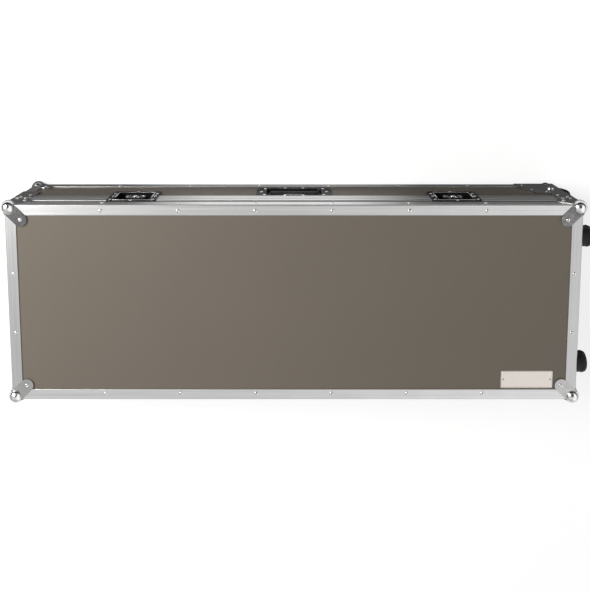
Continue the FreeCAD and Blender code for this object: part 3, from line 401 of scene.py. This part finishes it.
def islands(name):
    """The separate solids of a CAD node, each as a list of points in the row frame."""
    built = bmesh.new()
    built.from_mesh(NODES[name].data)
    weld(built, COARSE_WELD)
    seen, groups = set(), []
    for start in built.verts:
        if start in seen:
            continue
        stack, group = [start], []
        seen.add(start)
        while stack:
            point = stack.pop()
            group.append(point.co.copy())
            for edge in point.link_edges:
                other = edge.other_vert(point)
                if other not in seen:
                    seen.add(other)
                    stack.append(other)
        groups.append(group)
    built.free()
    return groups


def facing(points):
    """The seat, way out, radius and height of a domed head."""
    low = Vector([min(point[axis] for point in points) for axis in range(3)])
    high = Vector([max(point[axis] for point in points) for axis in range(3)])
    size = high - low
    axis = min(range(3), key=lambda index: size[index])
    across = (axis + 1) % 3
    spreads, within = [], size[axis] * 0.02
    for level in (low[axis], high[axis]):
        at_level = [point[across] for point in points if abs(point[axis] - level) < within]
        spreads.append(max(at_level) - min(at_level))
    way = Vector((0, 0, 0))
    way[axis] = 1.0 if spreads[0] > spreads[1] else -1.0
    seat = (low + high) / 2
    seat[axis] = low[axis] if way[axis] > 0 else high[axis]
    return seat, way, size[across] / 2, size[axis]


def lathe(built, profile, centre, axis, segments, material=0, start=0.0):
    """Turn (radius, height) pairs about an axis through a point; ends on the axis are closed."""
    turn = Vector((0, 0, 1)).rotation_difference(Vector(axis)).to_matrix()
    rings = []
    for radius, height in profile:
        count = 1 if radius == 0 else segments
        ring = []
        for index in range(count):
            angle = start + 2 * math.pi * index / segments
            local = Vector((radius * math.cos(angle), radius * math.sin(angle), height))
            ring.append(built.verts.new(Vector(centre) + turn @ local))
        rings.append(ring)
    for below, above in zip(rings, rings[1:]):
        for index in range(segments):
            following = (index + 1) % segments
            corners = [below[index % len(below)], below[following % len(below)],
                       above[following % len(above)], above[index % len(above)]]
            unique = list(dict.fromkeys(corners))
            if len(unique) > 2:
                built.faces.new(unique).material_index = material
    return rings


def tube(built, path, radius, closed=False, sides=10):
    """A round bar along points, capped where it is open."""
    count = len(path)
    rings, up = [], None
    for index, point in enumerate(path):
        before = path[index - 1] if closed or index else point
        after = path[(index + 1) % count] if closed or index < count - 1 else point
        along = (after - before).normalized()
        if up is None:
            up = along.orthogonal().normalized()
        up = (up - along * up.dot(along)).normalized()
        side = along.cross(up)
        turns = (2 * math.pi * step / sides for step in range(sides))
        spokes = (math.cos(turn) * up + math.sin(turn) * side for turn in turns)
        rings.append([built.verts.new(point + radius * spoke) for spoke in spokes])
    for one, other in zip(rings, rings[1:] + rings[:1] if closed else rings[1:]):
        best = min(range(sides), key=lambda shift: (one[0].co - other[shift].co).length)
        for step in range(sides):
            following = (step + 1) % sides
            built.faces.new((one[step], one[following],
                             other[(following + best) % sides], other[(step + best) % sides]))
    if not closed:
        for ring in (rings[0], rings[-1]):
            built.faces.new(ring)


def rounded_path(centre, half, other_half, radius, across, up, steps=6):
    """Points round a rounded rectangle in the plane of two directions."""
    across, up = Vector(across), Vector(up)
    points = []
    for quarter, (one, two) in enumerate(((1, 1), (-1, 1), (-1, -1), (1, -1))):
        for step in range(steps + 1):
            turn = math.pi / 2 * (quarter + step / steps)
            points.append(Vector(centre)
                          + across * (one * (half - radius) + radius * math.cos(turn))
                          + up * (two * (other_half - radius) + radius * math.sin(turn)))
    return points


def block(built, low, high):
    """A box between two corners; its points."""
    made = bmesh.ops.create_cube(built, size=1.0)["verts"]
    for point in made:
        point.co = Vector([low[axis] if point.co[axis] < 0 else high[axis] for axis in range(3)])
    return made


X_AXIS, Y_AXIS, Z_AXIS = (1, 0, 0), (0, 1, 0), (0, 0, 1)
MINUS_X, MINUS_Y = (-1, 0, 0), (0, -1, 0)


# Blind rivets: a domed head round the sunk end of its stem, as shares of its radius and height
HEAD = [(1.0, 0.0), (1.0, 0.10), (0.965, 0.30), (0.86, 0.62), (0.70, 0.86), (0.54, 0.97),
        (0.42, 1.0), (0.35, 0.93), (0.32, 0.62), (0.30, 0.50)]
STEM = [(0.30, 0.50), (0.24, 0.46), (0.20, 0.60), (0.10, 0.66), (0.0, 0.67)]
RIVET_SEGMENTS = 20


def rivet_heads(name, node, body):
    built = bmesh.new()
    for points in islands(node):
        seat, way, radius, height = facing(points)
        for profile, material in ((HEAD, 0), (STEM, 1)):
            lathe(built, [(r * radius, h * height) for r, h in profile], seat, way,
                  segments=RIVET_SEGMENTS, material=material)
        lathe(built, [(radius, 0.0), (0.0, 0.0)], seat, way, segments=RIVET_SEGMENTS)
    weld(built, COARSE_WELD)
    piece(name, body, [STEEL, DARK_STEEL], built, [node])


rivet_heads("base_rivet_heads", "base_rivets", "base")
rivet_heads("lid_rivet_heads", "lid_rivets", "lid")


# Screws: a domed head with a cross recess, as shares of its radius and height
SCREW = [(1.0, 0.0), (1.0, 0.30), (0.93, 0.62), (0.76, 0.86), (0.55, 0.97), (0.42, 1.0),
         (0.26, 1.0), (0.12, 1.0), (0.0, 1.0)]
SCREW_SEGMENTS, ARM_SEGMENTS = 32, 8
RECESS_REACH, RECESS_DEPTH = 0.5, 0.55


def cross_head(built, seat, way, radius, height, start=0.0):
    """A domed screw head with a recess of four arms, each three points wide."""
    rings = lathe(built, [(r * radius, h * height) for r, h in SCREW], seat, way,
                  segments=SCREW_SEGMENTS, start=start)
    for ring in rings:
        for index, point in enumerate(ring):
            in_arm = len(ring) == 1 or index % ARM_SEGMENTS in (ARM_SEGMENTS - 1, 0, 1)
            reach = (point.co - Vector(seat)).cross(Vector(way)).length
            if in_arm and reach < radius * RECESS_REACH:
                point.co -= Vector(way) * height * RECESS_DEPTH
    lathe(built, [(radius, 0.0), (0.0, 0.0)], seat, way, segments=SCREW_SEGMENTS, start=start)


built = bmesh.new()
for number, points in enumerate(islands("nameplate_screws")):
    cross_head(built, *facing(points), start=0.5 + number)
weld(built)
piece("nameplate_screw_heads", "lid", PRESSED, built, ["nameplate_screws"])


# Rubber feet: a moulded cup with a rolled rim round a sunk screw and its washer
FOOT_PROFILE = [(22.5, 0.0), (22.5, 1.6), (21.9, 2.4), (21.5, 4.5), (21.4, 12.0), (21.7, 14.6),
                (22.3, 16.0), (22.4, 16.8), (22.0, 17.8), (21.3, 20.0), (20.6, 22.2),
                (19.6, 23.4), (18.4, 23.95), (13.4, 23.95), (12.6, 23.3), (11.4, 23.3),
                (10.7, 23.95), (9.4, 23.95), (8.4, 23.4), (8.0, 22.2), (8.0, 10.0),
                (2.5, 10.0), (2.5, 0.0), (22.5, 0.0)]
WASHER = [(2.6, 10.0), (7.2, 10.0), (7.4, 10.2), (7.4, 10.7), (7.1, 10.95), (2.6, 10.95),
          (2.6, 10.0)]
SHANK = [(2.45, 0.0), (2.45, 11)]
FOOT_SCREW_SEAT, FOOT_SCREW_RADIUS, FOOT_SCREW_HEIGHT = 10.95, 5.8, 2.05

heads = bmesh.new()
for side, across in (("latch_side", -1), ("hinge_side", 1)):
    centre, size = middle(f"rubber_foot_{side}")
    seat = Vector((centre.x + size.x / 2, centre.y, centre.z))
    built = bmesh.new()
    lathe(built, in_mm(FOOT_PROFILE), seat, MINUS_X, segments=64)
    weld(built, COARSE_WELD)
    piece(f"foot_{side}", "lid", FOOT, built, [f"rubber_foot_{side}"])
    lathe(heads, in_mm(WASHER), seat, MINUS_X, segments=32)
    lathe(heads, in_mm(SHANK), seat, MINUS_X, segments=24)
    cross_head(heads, seat + Vector((-FOOT_SCREW_SEAT * MM, 0, 0)), MINUS_X,
               FOOT_SCREW_RADIUS * MM, FOOT_SCREW_HEIGHT * MM, start=0.4 * across)
weld(heads)
piece("foot_screw_heads", "lid", STEEL, heads, ["foot_screws"])


# Wheels: a tyre with two grooves on a ribbed hub; a side is mirrored for the other
TYRE_SIDE = [(17.0, 10.1), (32.6, 10.1), (33.8, 11.0), (34.6, 12.0), (35.8, 12.45),
             (37.0, 12.45), (38.4, 11.9), (40.0, 10.5), (41.2, 9.0), (41.8, 7.6),
             (41.98, 6.4), (41.98, 5.4), (41.0, 5.1), (41.0, 4.1), (41.98, 3.8)]
HUB_SIDE = [(5.08, 12.5), (12.9, 12.5), (14.2, 12.2), (14.9, 11.4), (15.0, 10.0), (17.6, 10.0)]
HUB_RIBS = 6
RIB_FROM, RIB_TO, RIB_HALF_WIDTH, RIB_SINK, RIB_FACE, RIB_BEVEL = 14.5, 33.0, 1.4, 10.0, 11.6, 0.5


def turned_wheel(sides, centre):
    """A tyre or a hub, from the profile of one side and its mirror image."""
    built = bmesh.new()
    profile = [(r, -h) for r, h in sides] + [(r, h) for r, h in reversed(sides)]
    profile.append(profile[0])
    lathe(built, in_mm(profile), centre, Y_AXIS, segments=72)
    return built


def hub_rib(built, centre, angle, way):
    """A spoke-like rib on one face of a hub."""
    known = set(built.verts)
    ends = [way * RIB_SINK * MM, way * RIB_FACE * MM]
    points = block(built, (RIB_FROM * MM, min(ends), -RIB_HALF_WIDTH * MM),
                   (RIB_TO * MM, max(ends), RIB_HALF_WIDTH * MM))
    bmesh.ops.bevel(built, geom=list({edge for point in points for edge in point.link_edges}),
                    offset=RIB_BEVEL * MM, segments=2, affect="EDGES")
    turn = Matrix.Rotation(angle, 3, "Y")
    for point in built.verts:
        if point not in known:
            point.co = centre + turn @ point.co


for side in ("latch_side", "hinge_side"):
    name = f"wheel_{side}"
    centre, _ = middle(name)
    tyre = turned_wheel(TYRE_SIDE, centre)
    weld(tyre)
    piece(f"tyre_{side}", f"{side}_wheel", TYRE, tyre, [name])
    hub = turned_wheel(HUB_SIDE, centre)
    for rib in range(HUB_RIBS):
        for way in (-1, 1):
            hub_rib(hub, centre, math.radians(360 / HUB_RIBS * rib), way)
    weld(hub)
    piece(f"hub_{side}", f"{side}_wheel", HUB, hub)


# Handle grips: a ribbed rubber sleeve with rolled ends, given as (radius, way in from its end)
GRIP_END = [(4.15, 0.0), (7.6, 0.0), (8.6, 0.5)]
GRIP_SHOULDER = 1.2
GRIP_GROOVE, GRIP_RISE, GRIP_ROUNDING = 8.95, 1.03, 0.16
GRIP_RIBS, RIB_STEPS = 11, 12

for where, axis in (("side", X_AXIS), ("end", Y_AXIS)):
    name = f"{where}_handle_grip"
    centre, size = middle(name)
    half = max(size.x, size.y) / 2
    profile = [(radius * MM, -half + inset * MM) for radius, inset in GRIP_END]
    for step in range(GRIP_RIBS * RIB_STEPS + 1):
        share = step / (GRIP_RIBS * RIB_STEPS)
        wave = abs(math.sin(math.pi * GRIP_RIBS * share)) ** GRIP_ROUNDING
        profile.append(((GRIP_GROOVE + GRIP_RISE * wave) * MM,
                        (share * 2 - 1) * (half - GRIP_SHOULDER * MM)))
    profile += [(radius * MM, half - inset * MM) for radius, inset in reversed(GRIP_END)]
    profile.append(profile[0])
    built = bmesh.new()
    lathe(built, profile, centre, axis, segments=40)
    weld(built)
    piece(f"{where}_grip_sleeve", f"{where}_handle", GRIP, built, [name])


def at_handle(where, x, y, z):
    """A point given for the side handle, in millimetres from the case's middle, on either one."""
    if where == "side":
        return Vector((x + CASE_MIDDLE_X, y, z)) * MM
    return Vector((-y + HALF_LENGTH - HALF_WIDTH + CASE_MIDDLE_X, x, z)) * MM


# A rolled lip round each handle pocket, the coil springs on the pivots and a stop on the lip
POCKET_LIP_Y, POCKET_LIP_Z = -204.2, 84.5
POCKET_HALF_LENGTH, POCKET_HALF_HEIGHT, POCKET_CORNER = 59.8, 30.7, 9.8
POCKET_LIP_RADIUS = 0.95
PIVOT_Y, PIVOT_Z = -193.0, 102.46
COIL_TURNS, COIL_STEPS = 3, 24
COIL_FROM, COIL_LENGTH, COIL_RADIUS, WIRE_RADIUS = 51.9, 2.6, 3.5, 0.42
OUTER_TAIL, INNER_TAIL = (52.0, -190.0, 97.0), (49.3, -184.0, 103.5)
PIVOT_CAP = [(2.4, 0.0), (2.4, 0.3), (3.0, 0.4), (2.9, 1.0), (2.0, 1.5), (0.0, 1.7)]
CAP_SEAT = 49.2
STOP_HALF_LENGTH, STOP_Y, STOP_Z, STOP_RADIUS = 18, -204.9, 116.6, 0.9


def handle_spring(built, where, way):
    """The coil on one pivot of a handle, with its two tails and the pivot's cap."""

    def at_end(x, y, z):
        return at_handle(where, way * x, y, z)

    coil = [at_end(*OUTER_TAIL)]
    steps = COIL_TURNS * COIL_STEPS
    for step in range(steps + 1):
        turn = 2 * math.pi * step / COIL_STEPS
        coil.append(at_end(COIL_FROM - COIL_LENGTH * step / steps,
                           PIVOT_Y + COIL_RADIUS * math.cos(turn),
                           PIVOT_Z + COIL_RADIUS * math.sin(turn)))
    coil.append(at_end(*INNER_TAIL))
    tube(built, coil, WIRE_RADIUS * MM, sides=6)
    inwards = at_end(0, 0, 0) - at_end(1, 0, 0)
    lathe(built, in_mm(PIVOT_CAP), at_end(CAP_SEAT, PIVOT_Y, PIVOT_Z), inwards, segments=16)


for where in ("side", "end"):
    lip, springs = bmesh.new(), bmesh.new()
    along = at_handle(where, 1, 0, 0) - at_handle(where, 0, 0, 0)
    pocket = rounded_path(at_handle(where, 0, POCKET_LIP_Y, POCKET_LIP_Z), POCKET_HALF_LENGTH,
                          POCKET_HALF_HEIGHT, POCKET_CORNER, along, Vector((0, 0, MM)))
    tube(lip, pocket, POCKET_LIP_RADIUS * MM, closed=True)
    piece(f"{where}_handle_lip", "base", ENAMEL, lip)
    for way in (-1, 1):
        handle_spring(springs, where, way)
    stop = [at_handle(where, STOP_HALF_LENGTH * share, STOP_Y, STOP_Z)
            for share in (-1, -0.97, -0.5, 0, 0.5, 0.97, 1)]
    tube(springs, stop, STOP_RADIUS * MM)
    piece(f"{where}_handle_springs", "base", STEEL, springs)


# Rolled lips round the latch pockets, in a part on the base and one on the lid
LATCH_X = {"wheel_end": -326.25, "handle_end": 341.75}
LATCH_LIP_Y, LATCH_POCKET_Z = -206.2, 135.0
LATCH_HALF_LENGTH, LATCH_HALF_HEIGHT, LATCH_CORNER, LATCH_LIP_RADIUS = 37.9, 35.4, 1.2, 0.85
LIP_ENDS = {"base": (152.0, -1), "lid": (152.7, 1)}     # where a part ends, and its way from there

# Raised rims on the two wings of a turn piece, and the cap of its spindle
WING_Z, WING_Y, WING_X = 123.5, -202.5, 11.6
WING_HALF_LENGTH, WING_HALF_HEIGHT, WING_CORNER, WING_RIM_RADIUS = 7.6, 6.2, 3.6, 0.8
SPINDLE_CAP = [(5.4, 0), (5.4, 0.8), (5.0, 1.7), (4.0, 2.5), (2.4, 2.9), (0, 3.0)]


def latch_lip(where, body):
    """One part of a pocket's lip: the loop's points on its side, in order, between two ends."""
    x = LATCH_X[where] * MM
    edge, way = LIP_ENDS[body][0] * MM, LIP_ENDS[body][1]
    loop = rounded_path((x, LATCH_LIP_Y * MM, LATCH_POCKET_Z * MM), LATCH_HALF_LENGTH * MM,
                        LATCH_HALF_HEIGHT * MM, LATCH_CORNER * MM, X_AXIS, Z_AXIS)
    kept = sorted((point for point in loop if (point.z - edge) * way > 0),
                  key=lambda point: math.atan2(point.x - x, (point.z - edge) * way))
    ends = [Vector((x + side * LATCH_HALF_LENGTH * MM, LATCH_LIP_Y * MM, edge))
            for side in (-1, 1)]
    built = bmesh.new()
    tube(built, [ends[0], *kept, ends[1]], LATCH_LIP_RADIUS * MM)
    # the lip's bright plating is a painted highlight on the black pocket edge
    piece(f"latch_lip_{body}_{where}", body, HIGHLIGHT_LIP, built)


def turn_rims(where):
    """The rims of a turn piece's wings and the cap of its spindle."""
    spindle = Vector((LATCH_X[where], 0, WING_Z)) * MM
    built = bmesh.new()
    for way in (-1, 1):
        rim = rounded_path(spindle + Vector((way * WING_X, WING_Y, 0)) * MM,
                           WING_HALF_LENGTH * MM, WING_HALF_HEIGHT * MM, WING_CORNER * MM,
                           X_AXIS, Z_AXIS, steps=5)
        tube(built, rim, WING_RIM_RADIUS * MM, closed=True, sides=8)
    lathe(built, in_mm(SPINDLE_CAP), spindle + Vector((0, WING_Y, 0)) * MM, MINUS_Y, segments=28)
    # the wing rims' bright plating is a painted highlight on the black wings
    piece(f"turn_rims_{where}", f"{where}_turn", HIGHLIGHT_LIP, built)


for where in LATCH_X:
    for body in LIP_ENDS:
        latch_lip(where, body)
    turn_rims(where)


# A pressed fold where each ball corner meets its straps
FOLD_OUT, FOLD_REACH, FOLD_RADIUS = 8.1, 12.75, 0.8
FOLD_FROM, FOLD_SWEEP, FOLD_STEPS = -27, 144, 24
FOLDED_CORNERS = {"base": [(1, -1, -1), (1, 1, -1)],
                  "lid": [(x, y, 1) for x in (-1, 1) for y in (-1, 1)]}


def corner_fold(built, corner, axis):
    """An arc round the ball in the plane of the strap that faces along an axis."""
    ball = ball_centre(*corner)
    out, one, two = (Vector([corner[index] if index == (axis + turn) % 3 else 0
                             for index in range(3)]) for turn in (0, 1, 2))
    path = []
    for step in range(FOLD_STEPS + 1):
        turn = math.radians(FOLD_FROM + FOLD_SWEEP * step / FOLD_STEPS)
        path.append((ball + out * FOLD_OUT - one * FOLD_REACH * math.cos(turn)
                     - two * FOLD_REACH * math.sin(turn)) * MM)
    tube(built, path, FOLD_RADIUS * MM, sides=8)


for body, corners in FOLDED_CORNERS.items():
    built = bmesh.new()
    for corner in corners:
        for axis in range(3):
            corner_fold(built, corner, axis)
    piece(f"{body}_corner_folds", body, PRESSED, built)


# Bare nameplate: a rolled border round a brushed field
BORDER_INSET, BORDER_CORNER, BORDER_RADIUS = 1.3, 2.2, 0.55

centre, size = middle("nameplate")
border = rounded_path((centre.x, centre.y, centre.z + size.z / 2),
                      size.x / 2 - BORDER_INSET * MM, size.y / 2 - BORDER_INSET * MM,
                      BORDER_CORNER * MM, X_AXIS, Y_AXIS)
built = bmesh.new()
tube(built, border, BORDER_RADIUS * MM, closed=True, sides=8)
piece("nameplate_border", "lid", PLATE, built)


# Foam lining: softened pads with a slightly uneven skin
PAD_EDGE, PAD_GRID = 3.2 * MM, 0.022
PAD_GIVE = 0.7 * MM
BROAD_WAVES, FINE_WAVES = 28.0, 90.0
SAME_PLANE, SHARP_EDGE = 0.02, 1.0


def cut_grid(built):
    """Cut the pads into cells, at even steps between the levels of their own corners."""
    for axis in range(3):
        along = Vector([1.0 if index == axis else 0.0 for index in range(3)])
        levels = sorted({round(point.co[axis], 5) for point in built.verts})
        for low, high in zip(levels, levels[1:]):
            cuts = int((high - low) / PAD_GRID)
            for step in range(1, cuts + 1):
                level = low + (high - low) * step / (cuts + 1)
                bmesh.ops.bisect_plane(built, geom=[*built.verts, *built.edges, *built.faces],
                                       plane_co=along * level, plane_no=along)


def cushion(name, body):
    """Soft pads in place of a foam node."""
    built = bmesh.new()
    built.from_mesh(NODES[name].data)
    weld(built, COARSE_WELD)
    bmesh.ops.dissolve_limit(built, angle_limit=SAME_PLANE, verts=built.verts, edges=built.edges)
    cut_grid(built)
    sharp = [edge for edge in built.edges
             if edge.is_convex and edge.calc_face_angle(0.0) > SHARP_EDGE]
    bmesh.ops.bevel(built, geom=sharp, offset=PAD_EDGE, segments=3, affect="EDGES",
                    clamp_overlap=True)
    built.normal_update()
    for point in built.verts:
        broad, fine = (noise.noise(point.co * waves) for waves in (BROAD_WAVES, FINE_WAVES))
        give = 0.5 + 0.5 * broad + 0.25 * fine
        point.co -= point.normal * max(give, 0.0) * PAD_GIVE
    made = piece(f"{name}_pads", body, FOAM, built, [name])


cushion("base_floor_foam", "base")
cushion("base_side_foams", "base")
cushion("base_end_foams", "base")
cushion("lid_foam", "lid")


# Pressed and extruded metal has softened edges, this wide in millimetres
SOFT_EDGES = {
    0.45: list(RUNS_ALONG),
    0.35: [name for name in NODES if SLOT_OF[name] == "corner_metal"],
    0.5: ["side_handle_dish", "end_handle_dish", "side_handle_bail", "end_handle_bail",
          "latch_dish_wheel_end", "latch_dish_handle_end",
          "latch_catch_wheel_end", "latch_catch_handle_end"],
    0.7: ["latch_turn_wheel_end", "latch_turn_handle_end"],
}
for width, names in SOFT_EDGES.items():
    for name in names:
        joined = NODES[name].modifiers.new("weld", "WELD")
        joined.merge_threshold = COARSE_WELD
        bevel = NODES[name].modifiers.new("soft_edges", "BEVEL")
        bevel.width = width * MM
        bevel.segments = 2
        bevel.limit_method = "ANGLE"
        bevel.angle_limit = math.radians(40)


# Camera: far above the latch side, looking down with a small tilt; a shift frames the case
LID_FACE = Vector((0.00775, 0.0, 0.2085))
CAMERA_FROM_LID = Vector((-0.0020, -0.5674, 1.5338))
FOCAL_PIXELS, SHIFT_PIXELS, FRAME_PIXELS = 782.0, 180, 590
TILT = 0.1183

lens = bpy.data.cameras.new("camera")
lens.lens = FOCAL_PIXELS * lens.sensor_width / FRAME_PIXELS
lens.shift_y = -SHIFT_PIXELS / FRAME_PIXELS
camera = bpy.data.objects.new("camera", lens)
bpy.context.scene.collection.objects.link(camera)
camera.location = LID_FACE + CAMERA_FROM_LID
camera.rotation_euler = (-TILT, 0.0, math.pi)
bpy.context.scene.camera = camera


# Floor and light


FADE_OUT = (1.0, 0.0)
FLOOR_HALF = 30.0
CARD_MIDDLE_X = 0.05


def background_rays(paint):
    """1 for the rays that show the background: from the camera, off metal and through glass."""
    seen = paint.add("ShaderNodeLightPath").outputs
    shown = paint.math("MAXIMUM", seen["Is Camera Ray"], seen["Is Glossy Ray"])
    return paint.math("MAXIMUM", shown, seen["Is Transmission Ray"])


def beside_case(paint):
    """Two shares of the floor by the long sides: the dim ends, and a light card at the middle.

    A narrow strip at the foot of the case is dim all along.
    """
    x, y, _ = paint.axes()
    away = paint.math("ABSOLUTE", y)
    from_card = paint.math("ABSOLUTE", paint.math("SUBTRACT", x, CARD_MIDDLE_X))
    within_ends = paint.span(paint.math("ABSOLUTE", x), (0.66, 0.85), onto=FADE_OUT)
    beside = paint.times(within_ends, paint.span(away, (0.30, 0.50), onto=FADE_OUT))
    past_wall = paint.span(away, (0.206, 0.211))
    foot = paint.times(past_wall, paint.span(away, (0.228, 0.245), onto=FADE_OUT))
    off_card = paint.span(from_card, (0.15, 0.33))
    dim = paint.times(beside, paint.math("MAXIMUM", off_card, foot))
    return dim, paint.math("SUBTRACT", beside, dim)


def floor():
    """A plain pale floor that reads as white round the object and keeps its shadow.

    Metal sees it darker, and sees its dim and bright parts beside the case.
    """
    pale, pale_in_metal, dim_in_metal = ((grey,) * 3 for grey in (0.40, 0.20, 0.07))
    mesh = bpy.data.meshes.new("floor")
    corners = [(-FLOOR_HALF, -FLOOR_HALF, 0), (FLOOR_HALF, -FLOOR_HALF, 0),
               (FLOOR_HALF, FLOOR_HALF, 0), (-FLOOR_HALF, FLOOR_HALF, 0)]
    mesh.from_pydata(corners, [], [(0, 1, 2, 3)])
    ground = bpy.data.objects.new("floor", mesh)
    bpy.context.scene.collection.objects.link(ground)
    paint = Paint("floor", Specular_IOR_Level=0.0)
    paint.surface.inputs["Emission Color"].default_value = (1, 1, 1, 1)
    away = paint.add("ShaderNodeVectorMath", operation="LENGTH")
    paint.put(away.inputs[0], paint.place)
    glow = paint.span(away.outputs["Value"], (0.8, 4.0), onto=(0.70, 0.84))
    glossy = paint.add("ShaderNodeLightPath").outputs["Is Glossy Ray"]
    dim, card = (paint.times(glossy, share) for share in beside_case(paint))
    glow = paint.times(glow, paint.span(dim, (0.0, 1.0), onto=(1.0, 0.08)))
    glow = paint.math("ADD", glow, paint.times(card, 0.35))
    strength = paint.times(background_rays(paint), glow)
    paint.put(paint.surface.inputs["Emission Strength"], strength)
    colour = paint.blend(dim, paint.blend(glossy, pale, pale_in_metal), dim_in_metal)
    mesh.materials.append(paint.finish(colour, 0.9))


class Sky(Paint):
    """The world's node tree, built as a material's is."""

    def __init__(self):
        world = bpy.data.worlds.new("studio")
        bpy.context.scene.world = world
        world.use_nodes = True
        self.tree = world.node_tree
        self.surface = self.tree.nodes["Background"]
        self.place = self.add("ShaderNodeTexCoord").outputs["Generated"]


def studio():
    """A white backdrop; for light and reflections, a patchy ceiling that falls off into the dark.

    The ceiling is brighter towards -X and dark right overhead, where the camera stands.
    """
    backdrop = (0.995, 0.995, 0.995, 1.0)
    sky = Sky()
    x, y, z = sky.axes()
    seen = sky.add("ShaderNodeLightPath").outputs
    lifted = sky.math("ADD", z, sky.times(y, 0.38))
    ceiling = sky.span(lifted, (0.15, 0.60), onto=(0.05, 0.80))
    panels = sky.span(sky.noise(0.9, detail=1.0, seed=2.0), (0.35, 0.65), onto=(0.66, 1.05))
    sides = sky.span(x, (-0.34, -0.10), onto=(1.6, 1.0))
    above = sky.math("SUBTRACT", sky.times(z, 0.944), sky.times(y, 0.33))
    overhead = sky.span(above, (0.87, 0.95), onto=(1.0, 0.10))
    light = sky.times(sky.times(ceiling, panels), sky.times(sides, overhead))
    light = sky.times(light, sky.span(seen["Is Diffuse Ray"], (0.0, 1.0), onto=(1.0, 0.7)))
    shown = sky.math("MAXIMUM", seen["Is Camera Ray"], seen["Is Transmission Ray"])
    sky.put(sky.surface.inputs["Strength"], sky.span(shown, (0.0, 1.0), onto=(light, 1.0)))
    sky.surface.inputs["Color"].default_value = backdrop


def lamp(name, place, size, power, colour=(1, 1, 1)):
    """A square lamp that faces the lid."""
    data = bpy.data.lights.new(name, "AREA")
    data.shape = "RECTANGLE"
    data.size = data.size_y = size
    data.energy = power
    data.color = colour
    made = bpy.data.objects.new(name, data)
    bpy.context.scene.collection.objects.link(made)
    made.location = place
    made.rotation_euler = (LID_FACE - Vector(place)).to_track_quat("-Z", "Y").to_euler()


floor()
studio()
lamp("key", place=(1.5, -0.70, 1.6), size=1.2, power=47.0, colour=(1.0, 0.99, 0.975))
lamp("fill", place=(-2.0, -0.9, 2.1), size=1.6, power=3.0)

bpy.context.scene.view_settings.view_transform = "Standard"
